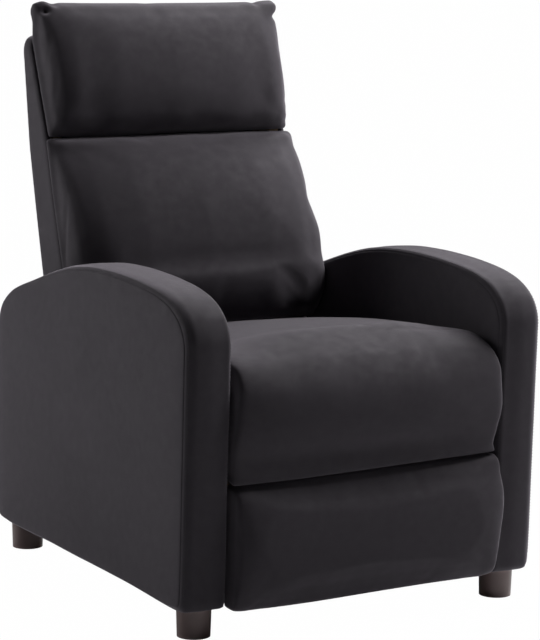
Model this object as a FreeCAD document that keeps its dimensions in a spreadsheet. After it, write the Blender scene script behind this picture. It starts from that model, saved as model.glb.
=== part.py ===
import FreeCAD, Part
import math
import os
import re
import Sketcher
from FreeCAD import Placement, Rotation, Vector

# Recliner armchair standing on four feet. It faces -Y, +X is the sitter's left and +Z is up.
# The origin is on the floor, under the middle of the chair. All lengths are millimetres.

doc = FreeCAD.newDocument("Recliner")

SIZES = {
    # Whole chair
    "chair_width": 680,
    "half_depth": 447,
    "side_play": 3,
    "soft_gap": 0.3,
    "overrun": 1,
    # Feet
    "foot_height": 52,
    "foot_top_radius": 29.5,
    "foot_low_radius": 28,
    "foot_side_inset": 41,
    "foot_front_inset": 46,
    "foot_rear_inset": 29,
    "stud_radius": 4,
    "stud_length": 70,
    "stud_depth_in_foot": 32,
    # Arms: a sill board on the feet, a plywood panel on the sill, padding around both
    "arm_width": 82,
    "arm_front_inset": 39,
    "arm_rear_inset": 100,
    "arm_height": 522,
    "arm_crown": 14,
    "arm_skin": 4,
    "arm_outer_skin": 10,
    "sill_height": 88,
    "sill_end_margin": 12,
    "panel_thick": 18,
    "panel_margin": 40,
    # Cross boards between the arms
    "stretcher_thick": 22,
    "stretcher_lift": 2,
    "stretcher_height": 46,
    "front_stretcher_inset": 58,
    "rear_stretcher_inset": 25,
    # Steel channels on the cross boards, which carry the swing links
    "steel": 3,
    "channel_width": 21.5,
    "channel_outer_height": 50,
    "channel_inner_height": 40,
    "channel_end_margin": 5,
    "channel_bolt_rise": 25,
    "channel_front_bolt_inset": 105,
    "channel_rear_bolt_inset": 127,
    # Fasteners
    "bolt_radius": 4,
    "bolt_head_radius": 6.5,
    "bolt_head_length": 4,
    "bolt_grip": 32,
    "plate_bolt_head": 1.2,
    "plate_bolt_length": 18,
    "pin_radius": 4,
    "pin_head_radius": 7,
    "pin_head_length": 1.2,
    "pin_clearance": 0.08,
    "pin_end_play": 0.3,
    "screw_radius": 2.5,
    "screw_head_radius": 5,
    "screw_head_length": 2,
    "screw_grip": 10,
    # Links: flat steel bars in layers, each a layer pitch further in than the last
    "link_half_width": 9,
    "layer_pitch": 4.5,
    "seat_plate_inset": 32,
    "swing_gap": 2,
    # Swing links under the seat
    "swing_length": 115,
    "swing_lean": 17.5,
    "swing_low_height": 120,
    "front_swing_inset": 90,
    "rear_swing_inset": 145,
    # Footrest linkage: two parallelograms, one behind the other
    "front_pivot_inset": 177,
    "front_pivot_rise": 14,
    "main_link_length": 150,
    "main_link_angle": -71,
    "link_tail": 36,
    "upper_link_reach": 160.4,
    "upper_link_angle": 151.4,
    "pivot_spacing": 60,
    "torque_tube_radius": 9,
    "torque_tube_wall": 1.5,
    "torque_tube_place": 75,
    # Seat frame of boards, on the seat plates
    "seat_board": 22,
    "seat_rail_high": 330,
    "seat_rail_height": 44,
    "front_rail_lift": 2,
    "front_rail_thick": 25,
    "front_rail_inset": 72,
    "seat_frame_inset": 10,
    # Seat plates
    "plate_front_margin": 16,
    "plate_low_margin": 13.7,
    "plate_high_inset": 8,
    "plate_waist_width": 72,
    "plate_lobe": 24,
    "plate_bolt_front_inset": 210,
    "plate_bolt_rear_inset": 45,
    "plate_bolt_rise": 20,
    # Sinuous springs across the seat frame
    "spring_count": 5,
    "spring_pitch": 78,
    "spring_wire_radius": 1.9,
    "spring_turn_radius": 11,
    "spring_run": 14,
    "clip_width": 14,
    "clip_depth": 12,
    "clip_height": 10,
    # Seat cushion
    "seat_rear_gap": 18,
    "seat_lip": 57,
    "seat_crest": 505,
    # Footrest
    "footrest_depth": 62,
    "footrest_gap": 5,
    "board_thick": 15,
    "board_side_inset": 23,
    "board_low_inset": 24,
    "board_high_inset": 20,
    "pad_low": 50,
    "pad_draw_in": 12,
    "bracket_height": 102,
    "bracket_rise": 4,
    "bracket_margin": 12,
    "flange_width": 30,
    "flange_screw_inset": 12,
    "flange_screw_margin": 22,
    # Back frame, hung on a hinge at the rear of the seat plates
    "hinge_inset": 12,
    "hinge_drop": 15,
    "hinge_lobe": 14,
    "back_depth": 254,
    "back_lift": 17,
    "back_height": 648,
    "back_side_play": 7,
    "back_cover": 12,
    "back_cover_top_drop": 16,
    "back_cover_draw_in": 6,
    "back_side_board": 18,
    "back_rail_thick": 20,
    "strap_thick": 2.4,
    "strap_room": 3,
    "bracket_bolt_length": 15,
    # Pillows on the back
    "pillow_side_play": 4,
    "head_side_play": 11,
}

# Outline of an arm from its rear corner over the top and down the front, as shares of its
# depth (0 at the front) and height (0 at the feet). Every second point is the middle of an arc.
ARM_SHARES = (
    (1.0, 0.745), (0.966, 0.790), (0.890, 0.845), (0.752, 0.920), (0.604, 0.970),
    (0.397, 1.0), (0.213, 0.985), (0.097, 0.955), (0.040, 0.905), (0.010, 0.862), (0.0, 0.800),
    (0.002, 0.400), (0.014, 0.0),
)
# Section of an arm: place across its width, and how far its crown stands up there.
ARM_SECTION_SHARES = (
    (0.0, -0.15), (0.05, 0.30), (0.16, 0.70), (0.38, 1.0),
    (0.70, 1.0), (0.87, 0.82), (0.96, 0.50), (1.0, 0.0),
)

# The back in side view, as shares of its depth and height, bottom to top.
BACK_FRONT_SHARES = (
    (0.0, 0.0), (0.114, 0.153), (0.268, 0.371), (0.417, 0.544),
    (0.539, 0.701), (0.701, 0.848), (0.854, 0.990),
)
BACK_REAR_SHARES = (
    (0.406, 0.0), (0.531, 0.168), (0.657, 0.337), (0.787, 0.530),
    (0.890, 0.692), (0.957, 0.865), (1.0, 0.975),
)
BACK_TOP_SHARE = (0.940, 1.0)
# Places across the back, and how far its cover draws in there.
BACK_SECTION_SHARES = ((-1.0, 1.0), (-0.965, 0.30), (-0.90, 0.0), (0.90, 0.0), (0.965, 0.30), (1.0, 1.0))
# How high the side posts, the cover's inside, the cross boards and the straps begin and end.
POST_SHARES = (0.0, 0.955)
COVER_ROOM_SHARE = 0.957
BACK_RAIL_SHARES = {
    "back_bottom_rail": (0.20, 0.28),
    "back_middle_rail": (0.50, 0.58),
    "back_top_rail": (0.87, 0.95),
}
STRAP_SHARES = ((0.17, 0.25), (0.31, 0.39), (0.60, 0.68), (0.74, 0.82))
# The cover lies square to its slope, so along Y it is this much thicker.
COVER_SLOPE_SHARE = 1.25
# The back bracket's upper corners and its bolts, in the back's shares.
BACK_BRACKET_SHARES = ((0.36, 0.19), (0.20, 0.19))
BACK_BOLT_SHARES = ((0.16, 0.070), (0.24, 0.155))

# Soft pieces in side view, at the middle and at the side, in the back's shares (see above).
LUMBAR_MIDDLE_SHARES = (
    (-0.02, 0.186), (-0.18, 0.224), (-0.165, 0.372), (-0.035, 0.555),
    (0.260, 0.690), (0.375, 0.728), (0.490, 0.716),
)
LUMBAR_SIDE_SHARES = (
    (0.070, 0.190), (-0.040, 0.235), (-0.055, 0.372), (0.140, 0.530),
    (0.440, 0.690), (0.490, 0.712), (0.520, 0.712),
)
HEAD_MIDDLE_SHARES = (
    (0.500, 0.726), (0.394, 0.742), (0.335, 0.800), (0.395, 0.950),
    (0.640, 1.078), (0.740, 1.102), (0.845, 1.045),
)
HEAD_SIDE_SHARES = (
    (0.545, 0.730), (0.500, 0.745), (0.500, 0.800), (0.590, 0.950),
    (0.745, 1.086), (0.790, 1.098), (0.850, 1.045),
)
# The seat cushion from its rear edge over the front roll, in shares of its own depth and height.
SEAT_MIDDLE_SHARES = (
    (1.0, 0.620), (0.640, 0.812), (0.280, 0.962), (0.150, 0.985), (0.050, 0.895),
    (0.008, 0.740), (0.0, 0.500), (0.006, 0.200), (0.030, 0.0),
)
SEAT_SIDE_SHARES = (
    (0.985, 0.560), (0.640, 0.705), (0.280, 0.812), (0.120, 0.820), (0.050, 0.765),
    (0.020, 0.680), (0.013, 0.480), (0.018, 0.200), (0.045, 0.0),
)
SEAT_SECTION_SHARES = (
    (-1.0, 1.0), (-0.96, 0.82), (-0.86, 0.58), (-0.70, 0.33), (-0.40, 0.09), (0.0, 0.0),
    (0.40, 0.09), (0.70, 0.33), (0.86, 0.58), (0.96, 0.82), (1.0, 1.0),
)
# Places across a soft piece, from side to side, and how much of the side's form it has there.
PILLOW_SECTION_SHARES = (
    (-1.0, 1.0), (-0.94, 0.62), (-0.80, 0.34), (-0.50, 0.10), (0.0, 0.0),
    (0.50, 0.10), (0.80, 0.34), (0.94, 0.62), (1.0, 1.0),
)
# The footrest pad in side view from the top of its rear face, forwards and down: how far it
# reaches from the rear face to the front, and how far it is up from the underside.
PAD_SHARES = (
    (0.45, 0.990), (0.78, 0.88), (1.0, 0.45), (0.80, 0.10), (0.50, 0.012), (0.0, 0.0),
)
PAD_SECTION_SHARES = ((-1.0, 1.0), (-0.975, 0.35), (-0.92, 0.0), (0.92, 0.0), (0.975, 0.35), (1.0, 1.0))

# Cells hold plain numbers, and each has its name as alias.
sheet = doc.addObject("Spreadsheet::Sheet", "Sizes")
for row, (alias, number) in enumerate(SIZES.items(), 1):
    sheet.set("A%d" % row, alias)
    sheet.set("B%d" % row, str(number))
    sheet.setAlias("B%d" % row, alias)
doc.recompute()

# Places and sizes that follow from the sheet.
PLACES = {
    "arm_outer": "chair_width / 2",
    "arm_inner": "chair_width / 2 - arm_width",
    "soft_half": "arm_inner - side_play",
    "arm_front": "arm_front_inset - half_depth",
    "arm_rear": "half_depth - arm_rear_inset",
    "arm_depth": "arm_rear - arm_front",
    "back_front": "half_depth - back_depth",
    "seat_rear": "back_front - seat_rear_gap",
    "seat_frame_rear": "seat_rear - seat_frame_inset",
    "seat_rail_low": "seat_rail_high - seat_rail_height",
    "seat_low_front": "seat_rail_high - seat_lip",
    "front_rail_front": "front_rail_inset - half_depth",
    "front_pivot_y": "front_pivot_inset - half_depth",
    "front_pivot_z": "seat_rail_low + front_pivot_rise",
    "hinge_y": "back_front + hinge_inset",
    "hinge_z": "front_pivot_z - hinge_drop",
    "back_low": "hinge_z + back_lift",
    "front_swing_foot": "front_pivot_y + front_swing_inset",
    "rear_swing_foot": "hinge_y - rear_swing_inset",
    "foot_x": "arm_outer - foot_side_inset",
    "front_foot_y": "arm_front + foot_front_inset",
    "rear_foot_y": "arm_rear - foot_rear_inset",
    "sill_inner": "arm_inner + arm_skin",
    "sill_outer": "arm_outer - arm_outer_skin",
    "sill_front": "arm_front + sill_end_margin",
    "sill_rear": "arm_rear - sill_end_margin",
    "sill_high": "foot_height + sill_height",
    "panel_inner": "(arm_inner + arm_outer - panel_thick) / 2",
    "stretcher_low": "foot_height + stretcher_lift",
    "stretcher_high": "stretcher_low + stretcher_height",
    "front_stretcher_y": "arm_front + front_stretcher_inset",
    "rear_stretcher_y": "arm_rear - rear_stretcher_inset - stretcher_thick",
    "channel_outer": "arm_inner - soft_gap",
    "channel_inner": "channel_outer - channel_width",
    "channel_front": "front_stretcher_y - channel_end_margin",
    "channel_rear": "rear_stretcher_y + stretcher_thick + channel_end_margin",
    "channel_bolt_z": "stretcher_high + channel_bolt_rise",
    "channel_front_bolt": "channel_front + channel_front_bolt_inset",
    "channel_rear_bolt": "channel_rear - channel_rear_bolt_inset",
    "seat_plate_inner": "arm_inner - seat_plate_inset",
    "seat_plate_outer": "seat_plate_inner + steel",
    "first_layer": "seat_plate_inner - layer_pitch",
    "second_layer": "first_layer - layer_pitch",
    "swing_inner": "seat_plate_outer + swing_gap",
    "swing_outer": "swing_inner + steel",
    "swing_top_z": "swing_low_height + swing_length * cos(swing_lean)",
    "front_swing_top": "front_swing_foot + swing_length * sin(swing_lean)",
    "rear_swing_top": "rear_swing_foot + swing_length * sin(swing_lean)",
    "link_dir_y": "cos(main_link_angle)",
    "link_dir_z": "sin(main_link_angle)",
    "upper_dir_y": "cos(upper_link_angle)",
    "upper_dir_z": "sin(upper_link_angle)",
    "knee_y": "front_pivot_y + main_link_length * link_dir_y",
    "knee_z": "front_pivot_z + main_link_length * link_dir_z",
    "tail_y": "knee_y + link_tail * link_dir_y",
    "tail_z": "knee_z + link_tail * link_dir_z",
    "heel_y": "knee_y - pivot_spacing * upper_dir_y",
    "heel_z": "knee_z - pivot_spacing * upper_dir_z",
    "rear_pivot_y": "front_pivot_y - pivot_spacing * upper_dir_y",
    "rear_pivot_z": "front_pivot_z - pivot_spacing * upper_dir_z",
    "toe_y": "knee_y + upper_link_reach * upper_dir_y",
    "toe_z": "knee_z + upper_link_reach * upper_dir_z",
    "brace_y": "toe_y + link_tail * link_dir_y",
    "brace_z": "toe_z + link_tail * link_dir_z",
    "tube_y": "front_pivot_y + torque_tube_place * link_dir_y",
    "tube_z": "front_pivot_z + torque_tube_place * link_dir_z",
    "running_radius": "pin_radius + pin_clearance",
    "seat_rail_outer": "seat_plate_outer + seat_board",
    "seat_rail_front": "front_rail_front + front_rail_thick",
    "seat_low": "seat_rail_high + soft_gap",
    "plate_front": "front_pivot_y - plate_front_margin",
    "plate_low": "swing_top_z - plate_low_margin",
    "plate_high": "seat_rail_high - plate_high_inset",
    "plate_waist": "plate_high - plate_waist_width",
    "plate_bolt_z": "seat_rail_low + plate_bolt_rise",
    "plate_bolt_first": "seat_rail_front + plate_bolt_front_inset",
    "plate_bolt_pitch": "(seat_frame_rear - plate_bolt_rear_inset - plate_bolt_first) / 2",
    "spring_z": "seat_rail_high - spring_wire_radius - soft_gap",
    "spring_front": "seat_rail_front + clip_depth",
    "spring_rear": "seat_frame_rear - seat_board - clip_depth",
    "board_rear": "footrest_depth - half_depth",
    "board_front": "board_rear - board_thick",
    "board_half_width": "arm_inner - board_side_inset",
    "pad_high": "seat_low_front - footrest_gap",
    "board_low": "pad_low + board_low_inset",
    "board_high": "pad_high - board_high_inset",
    "bracket_high": "board_high + bracket_rise",
    "bracket_low": "bracket_high - bracket_height",
    "pad_rear": "board_front - soft_gap",
    "flange_rear": "board_rear + steel",
    "flange_screw_x": "first_layer + steel - flange_width + flange_screw_inset",
    "back_half": "arm_inner - back_side_play",
    "post_outer": "back_half - back_cover",
    "post_inner": "post_outer - back_side_board",
    "back_plate_inner": "post_inner - steel",
    "pillow_half_width": "arm_inner - pillow_side_play",
    "head_half_width": "arm_inner - head_side_play",
}
places = doc.addObject("App::VarSet", "Places")


def full(text):
    """The formula with each size and place named in full."""
    def name(match):
        word = match.group(0)
        if word in SIZES:
            return "Sizes." + word
        if word in PLACES:
            return "Places." + word
        return word
    return re.sub(r"[a-z_]+", name, text)


def bind(thing, prop, text):
    thing.setExpression(prop, full(text))


for place in PLACES:
    places.addProperty("App::PropertyFloat", place, "Places")
for place, formula in PLACES.items():
    bind(places, place, formula)
doc.recompute()


def value(text):
    """What a formula of sizes and places comes to."""
    return float(sheet.evalExpression(full(text)))


SIDES = (("right", -1), ("left", 1))
nodes = []


def keep(thing, label):
    """Gives a finished piece its name and puts it among those written out."""
    thing.Label = label
    nodes.append(thing)
    return thing


def across(sign, inner, outer):
    """Low and high X of a piece on one side, between two distances from the middle."""
    if sign > 0:
        return inner, outer
    return "-(%s)" % outer, "-(%s)" % inner


def box(name, x, y, z):
    """A block between low and high formulas along each axis."""
    solid = doc.addObject("Part::Box", name)
    for size, axis, (low, high) in zip(("Length", "Width", "Height"), "xyz", (x, y, z)):
        bind(solid, size, "(%s) - (%s)" % (high, low))
        bind(solid, ".Placement.Base." + axis, low)
    return solid


TURNS = {
    "x": Rotation(Vector(0, 1, 0), 90),
    "y": Rotation(Vector(1, 0, 0), -90),
    "z": Rotation(),
}


def rod(name, axis, radius, place, low, high):
    """A round bar along one axis, from low to high, at the two places across it."""
    solid = doc.addObject("Part::Cylinder", name)
    solid.Placement = Placement(Vector(), TURNS[axis])
    bind(solid, "Radius", radius)
    bind(solid, "Height", "(%s) - (%s)" % (high, low))
    spots = dict(zip([a for a in "xyz" if a != axis], place))
    spots[axis] = low
    for letter, text in spots.items():
        bind(solid, ".Placement.Base." + letter, text)
    return solid


def fused(name, solids):
    whole = doc.addObject("Part::MultiFuse", name)
    whole.Shapes = solids
    return whole


def group(name, solids):
    whole = doc.addObject("Part::Compound", name)
    whole.Links = solids
    return whole


def cut(name, base, tools):
    whole = doc.addObject("Part::Cut", name)
    whole.Base = base
    whole.Tool = tools[0] if len(tools) == 1 else group(name + "_cutters", tools)
    return whole


def headed(name, axis, sign, radius, head_radius, place, start, end, head):
    """A bolt, screw or pin: a shank from start to end, with its head before the start.
    Start and end are distances along the axis, mirrored with the sign."""
    shank = across(sign, start, end)
    cap = across(sign, "(%s) - (%s)" % (start, head), start)
    if axis != "x":
        shank = (start, end) if sign > 0 else (end, start)
        cap = (start, "(%s) + (%s)" % (start, head))
        if sign > 0:
            cap = ("(%s) - (%s)" % (start, head), start)
    return fused(name, [
        rod(name + "_shank", axis, radius, place, *shank),
        rod(name + "_head", axis, head_radius, place, *cap),
    ])


def origin_plane(body, role):
    return [plane for plane in body.Origin.OriginFeatures if plane.Role == role][0]


def side_sketch(body):
    """A sketch in side view: its own X runs along Y and its own Y runs up."""
    sketch = body.newObject("Sketcher::SketchObject", body.Name + "_sketch")
    sketch.AttachmentSupport = (origin_plane(body, "YZ_Plane"), [""])
    sketch.MapMode = "FlatFace"
    return sketch


def fix(sketch, geometry, vertex, spot):
    """Ties a point of a sketch to its two formulas."""
    for kind, text in zip(("DistanceX", "DistanceY"), spot):
        index = sketch.addConstraint(Sketcher.Constraint(kind, geometry, vertex, value(text)))
        bind(sketch, "Constraints[%d]" % index, text)


def flat(spot):
    return Vector(value(spot[0]), value(spot[1]), 0)


def hole(sketch, spot, radius):
    index = sketch.addGeometry(Part.Circle(flat(spot), Vector(0, 0, 1), value(radius)))
    size = sketch.addConstraint(Sketcher.Constraint("Radius", index, value(radius)))
    bind(sketch, "Constraints[%d]" % size, radius)
    fix(sketch, index, 3, spot)


def padded(body, sketch, sign, inner, thick):
    """Gives a side sketch its thickness, from a distance inner outwards."""
    pad = body.newObject("PartDesign::Pad", body.Name + "_pad")
    pad.Profile = sketch
    bind(pad, "Length", thick)
    low, high = across(sign, inner, "(%s) + (%s)" % (inner, thick))
    bind(body, ".Placement.Base.x", low)
    return body


def bar(name, sign, inner, start, end, holes):
    """A flat steel link with round ends and its rivet holes."""
    body = doc.addObject("PartDesign::Body", name)
    sketch = side_sketch(body)
    first = flat(start)
    last = flat(end)
    along = (last - first).normalize()
    square = Vector(-along.y, along.x, 0)
    radius = value("link_half_width")
    angle = math.atan2(square.y, square.x)
    up = Vector(0, 0, 1)
    half = angle + math.pi
    edges = [
        sketch.addGeometry(Part.ArcOfCircle(Part.Circle(first, up, radius), angle, half)),
        sketch.addGeometry(Part.LineSegment(first - square * radius, last - square * radius)),
        sketch.addGeometry(Part.ArcOfCircle(Part.Circle(last, up, radius), half, half + math.pi)),
        sketch.addGeometry(Part.LineSegment(last + square * radius, first + square * radius)),
    ]
    for edge, following in zip(edges, edges[1:] + edges[:1]):
        sketch.addConstraint(Sketcher.Constraint("Tangent", edge, 2, following, 1))
    size = sketch.addConstraint(Sketcher.Constraint("Radius", edges[0], radius))
    bind(sketch, "Constraints[%d]" % size, "link_half_width")
    fix(sketch, edges[0], 3, start)
    fix(sketch, edges[2], 3, end)
    for spot, hole_radius in holes:
        hole(sketch, spot, hole_radius)
    return padded(body, sketch, sign, inner, "steel")


def outlined(name, corners):
    """A body with a side sketch of straight lines from corner to corner."""
    body = doc.addObject("PartDesign::Body", name)
    sketch = side_sketch(body)
    spots = [flat(corner) for corner in corners]
    edges = [
        sketch.addGeometry(Part.LineSegment(spot, following))
        for spot, following in zip(spots, spots[1:] + spots[:1])
    ]
    for edge, following in zip(edges, edges[1:] + edges[:1]):
        sketch.addConstraint(Sketcher.Constraint("Coincident", edge, 2, following, 1))
    for edge, corner in zip(edges, corners):
        fix(sketch, edge, 1, corner)
    return body, sketch


def plate(name, sign, inner, thick, corners, holes=()):
    """A board or sheet cut to straight-sided corners in side view."""
    body, sketch = outlined(name, corners)
    for spot, radius in holes:
        hole(sketch, spot, radius)
    return padded(body, sketch, sign, inner, thick)


def ruled(wires):
    """A solid with straight-lined skin through closed wires of as many edges each."""
    return Part.makeLoft(wires, True, True)


def side_wire(x, steps):
    """A closed wire at one X. Steps are (y, z) corners; a pair of them is an arc by its middle."""
    edges = []
    last = steps[-1][-1] if isinstance(steps[-1][0], tuple) else steps[-1]
    here = Vector(x, *last)
    for step in steps:
        if isinstance(step[0], tuple):
            middle = Vector(x, *step[0])
            there = Vector(x, *step[1])
            edges.append(Part.Arc(here, middle, there).toShape())
        else:
            there = Vector(x, *step)
            edges.append(Part.LineSegment(here, there).toShape())
        here = there
    return Part.Wire(edges)


def between(middle, side, part):
    return tuple(a + (b - a) * part for a, b in zip(middle, side))


def soft(label, shape):
    piece = doc.addObject("Part::Feature", label + "_form")
    piece.Shape = shape
    return keep(piece, label)


# Arms
def arm_spot(share, crown=0.0):
    """An arm's outline point; the crown lengthens the arm forwards and upwards."""
    depth = value("arm_depth") + crown
    height = value("arm_height") + crown
    return value("arm_rear") - (1 - share[0]) * depth, value("foot_height") + share[1] * height


def arm_wire(x, crown):
    spots = [arm_spot(share, crown) for share in ARM_SHARES]
    rear = value("arm_rear")
    steps = [(rear, value("foot_height")), spots[0]]
    for middle, end in zip(spots[1::2], spots[2::2]):
        steps.append((middle, end))
    return side_wire(x, steps)


def arm_padding(sign, shanks):
    """The padded skin round an arm's boards: crowned on top and in front, flat at the sides."""
    inner = value("arm_inner")
    width = value("arm_width")
    crown = value("arm_crown")
    skin = ruled([arm_wire(inner + share * width, crown * rise) for share, rise in ARM_SECTION_SHARES])
    gap = value("soft_gap")
    low = value("foot_height") - value("overrun")
    sill = Part.makeBox(
        value("sill_outer - sill_inner") + 2 * gap,
        value("sill_rear - sill_front") + 2 * gap,
        value("sill_high") + gap - low,
        Vector(value("sill_inner") - gap, value("sill_front") - gap, low),
    )
    corners = [Vector(value("panel_inner") - gap, y, z) for y, z in panel_corners(gap)]
    outline = Part.Face(Part.makePolygon(corners + corners[:1]))
    panel = outline.extrude(Vector(value("panel_thick") + 2 * gap, 0, 0))
    pad = skin.cut(sill).cut(panel)
    if sign < 0:
        pad = pad.mirror(Vector(), Vector(1, 0, 0))
    for shank in shanks:
        pad = pad.cut(shank.Shape)
    return pad


def panel_corners(gap=0.0):
    """Side view of an arm's plywood panel, inside the padding by a margin."""
    margin = value("panel_margin") - gap
    depth = value("arm_depth") - 2 * margin
    height = value("arm_height") - margin
    low = value("sill_high") - gap
    rear = value("arm_rear") - margin
    front = rear - depth
    corners = [(rear, low)]
    for share in ARM_SHARES[:-1]:
        corners.append((front + share[0] * depth, value("foot_height") + share[1] * height))
    corners.append((front, low))
    return corners


def panel_formulas():
    """The same corners as formulas, for the panel's sketch."""
    depth = "(arm_depth - 2 * panel_margin)"
    front = "(arm_front + panel_margin)"
    corners = [("arm_rear - panel_margin", "sill_high")]
    for share in ARM_SHARES[:-1]:
        corners.append((
            "%s + %s * %s" % (front, share[0], depth),
            "foot_height + %s * (arm_height - panel_margin)" % share[1],
        ))
    corners.append((front, "sill_high"))
    return corners


base_bolts = []
foot_studs = []
swing_low_pins = []
for side, sign in SIDES:
    studs = []
    for end in ("front", "rear"):
        spot = (("-" if sign < 0 else "") + "foot_x", end + "_foot_y")
        name = "%s_%s_foot" % (end, side)
        body = doc.addObject("Part::Cone", name + "_body")
        bind(body, "Radius1", "foot_low_radius")
        bind(body, "Radius2", "foot_top_radius")
        bind(body, "Height", "foot_height")
        bind(body, ".Placement.Base.x", spot[0])
        bind(body, ".Placement.Base.y", spot[1])
        stud = rod(
            name + "_stud", "z", "stud_radius", spot,
            "foot_height - stud_depth_in_foot", "foot_height - stud_depth_in_foot + stud_length",
        )
        keep(cut(name + "_cut", body, [stud]), name)
        studs.append(stud)
    side_bolts = [
        headed(
            "%s_%s_arm_bolt" % (side, end), "x", sign, "bolt_radius", "bolt_head_radius",
            ("channel_%s_bolt" % end, "channel_bolt_z"),
            "channel_outer - steel", "channel_outer + bolt_grip", "bolt_head_length",
        )
        for end in ("front", "rear")
    ]
    sill = box(
        side + "_sill_block", across(sign, "sill_inner", "sill_outer"),
        ("sill_front", "sill_rear"), ("foot_height", "sill_high"),
    )
    keep(cut(side + "_sill_cut", sill, studs + side_bolts), side + "_arm_sill")
    keep(
        plate(side + "_panel_board", sign, "panel_inner", "panel_thick", panel_formulas()),
        side + "_arm_panel",
    )
    doc.recompute()
    soft(side + "_arm_padding", arm_padding(sign, side_bolts))
    foot_studs += studs

    drop_bolts = []
    for end in ("front", "rear"):
        middle = "channel_outer - channel_width / 2"
        drop_bolts.append(headed(
            "%s_%s_drop_bolt" % (side, end), "z", -1, "bolt_radius", "bolt_head_radius",
            (across(sign, middle, middle)[0], "%s_stretcher_y + stretcher_thick / 2" % end),
            "stretcher_high + steel", "stretcher_high + steel - bolt_grip", "bolt_head_length",
        ))
    base_bolts += side_bolts + drop_bolts

    low_pins = [
        headed(
            "%s_%s_swing_low_pin" % (side, end), "x", sign, "pin_radius", "pin_head_radius",
            (end + "_swing_foot", "swing_low_height"),
            "swing_inner - pin_end_play", "channel_inner + steel", "pin_head_length",
        )
        for end in ("front", "rear")
    ]
    channel = box(
        side + "_channel_block", across(sign, "channel_inner", "channel_outer"),
        ("channel_front", "channel_rear"), ("stretcher_high", "stretcher_high + channel_outer_height"),
    )
    trough = box(
        side + "_channel_trough", across(sign, "channel_inner + steel", "channel_outer - steel"),
        ("channel_front - overrun", "channel_rear + overrun"),
        ("stretcher_high + steel", "stretcher_high + channel_outer_height + overrun"),
    )
    step = box(
        side + "_channel_step", across(sign, "channel_inner - overrun", "channel_inner + steel + overrun"),
        ("channel_front - overrun", "channel_rear + overrun"),
        ("stretcher_high + channel_inner_height", "stretcher_high + channel_outer_height + overrun"),
    )
    keep(
        cut(side + "_channel_cut", channel, [trough, step] + side_bolts + drop_bolts + low_pins),
        side + "_base_rail",
    )
    swing_low_pins += low_pins

for end in ("front", "rear"):
    board = box(
        end + "_stretcher_board", ("-channel_outer", "channel_outer"),
        (end + "_stretcher_y", end + "_stretcher_y + stretcher_thick"), ("stretcher_low", "stretcher_high"),
    )
    holes = [bolt for bolt in base_bolts if bolt.Name.endswith(end + "_drop_bolt")]
    keep(cut(end + "_stretcher_cut", board, holes), end + "_stretcher")
keep(group("base_bolt_set", base_bolts), "base_bolts")
keep(group("foot_stud_set", foot_studs), "foot_studs")
keep(group("low_pin_set", swing_low_pins), "swing_base_pins")

# Seat: plates, boards, springs and cushion
seat_bolts = []
seat_pins = []
for side, sign in SIDES:
    bolts = [
        headed(
            "%s_plate_bolt_%d" % (side, index), "x", sign, "bolt_radius", "bolt_head_radius",
            ("plate_bolt_first + %d * plate_bolt_pitch" % index, "plate_bolt_z"),
            "seat_plate_inner", "seat_plate_inner + plate_bolt_length", "plate_bolt_head",
        )
        for index in range(3)
    ]
    seat_bolts += bolts
    pins = [
        headed(
            "%s_%s_swing_top_pin" % (side, end), "x", -sign, "pin_radius", "pin_head_radius",
            (end + "_swing_top", "swing_top_z"),
            "-(swing_outer + pin_end_play)", "-seat_plate_inner", "pin_head_length",
        )
        for end in ("front", "rear")
    ]
    pins += [
        headed(
            "%s_%s_pivot_pin" % (side, end), "x", sign, "pin_radius", "pin_head_radius",
            (end + "_pivot_y", end + "_pivot_z"),
            "first_layer - pin_end_play", "seat_plate_outer", "pin_head_length",
        )
        for end in ("front", "rear")
    ]
    hinge_spot = ("hinge_y", "hinge_z")
    collar = across(sign, "post_inner + pin_end_play", "seat_plate_inner")
    pins.append(fused(side + "_hinge_pin", [
        headed(
            side + "_hinge_shaft", "x", sign, "pin_radius", "pin_head_radius", hinge_spot,
            "back_plate_inner - pin_end_play", "seat_plate_outer", "pin_head_length",
        ),
        rod(side + "_hinge_collar", "x", "pin_head_radius", hinge_spot, *collar),
    ]))
    seat_pins += pins
    corners = (
        ("plate_front", "plate_high - plate_lobe"),
        ("plate_front + plate_lobe", "plate_high"),
        ("seat_frame_rear", "plate_high"),
        ("hinge_y - hinge_lobe", "hinge_z + hinge_lobe / 2"),
        ("hinge_y", "hinge_z + hinge_lobe"),
        ("hinge_y + hinge_lobe", "hinge_z"),
        ("hinge_y", "hinge_z - hinge_lobe"),
        ("rear_swing_top + 2 * plate_lobe", "plate_waist"),
        ("rear_swing_top + plate_lobe / 2", "plate_low"),
        ("rear_swing_top - plate_lobe / 2", "plate_low"),
        ("rear_swing_top - 2 * plate_lobe", "plate_waist"),
        ("front_swing_top + 2 * plate_lobe", "plate_waist"),
        ("front_swing_top + plate_lobe / 2", "plate_low"),
        ("front_swing_top - plate_lobe / 2", "plate_low"),
        ("front_swing_top - 2 * plate_lobe", "plate_waist"),
        ("plate_front + plate_lobe", "plate_waist"),
        ("plate_front", "plate_waist + plate_lobe"),
    )
    sheet_plate = plate(side + "_seat_plate_sheet", sign, "seat_plate_inner", "steel", corners)
    keep(cut(side + "_seat_plate_cut", sheet_plate, bolts + pins), side + "_seat_plate")
    rail = box(
        side + "_seat_rail_board", across(sign, "seat_plate_outer", "seat_rail_outer"),
        ("seat_rail_front", "seat_frame_rear"), ("seat_rail_low", "seat_rail_high"),
    )
    keep(cut(side + "_seat_rail_cut", rail, bolts), side + "_seat_rail")
keep(group("seat_bolt_set", seat_bolts), "seat_plate_bolts")
keep(group("seat_pin_set", seat_pins), "seat_pivot_pins")
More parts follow.
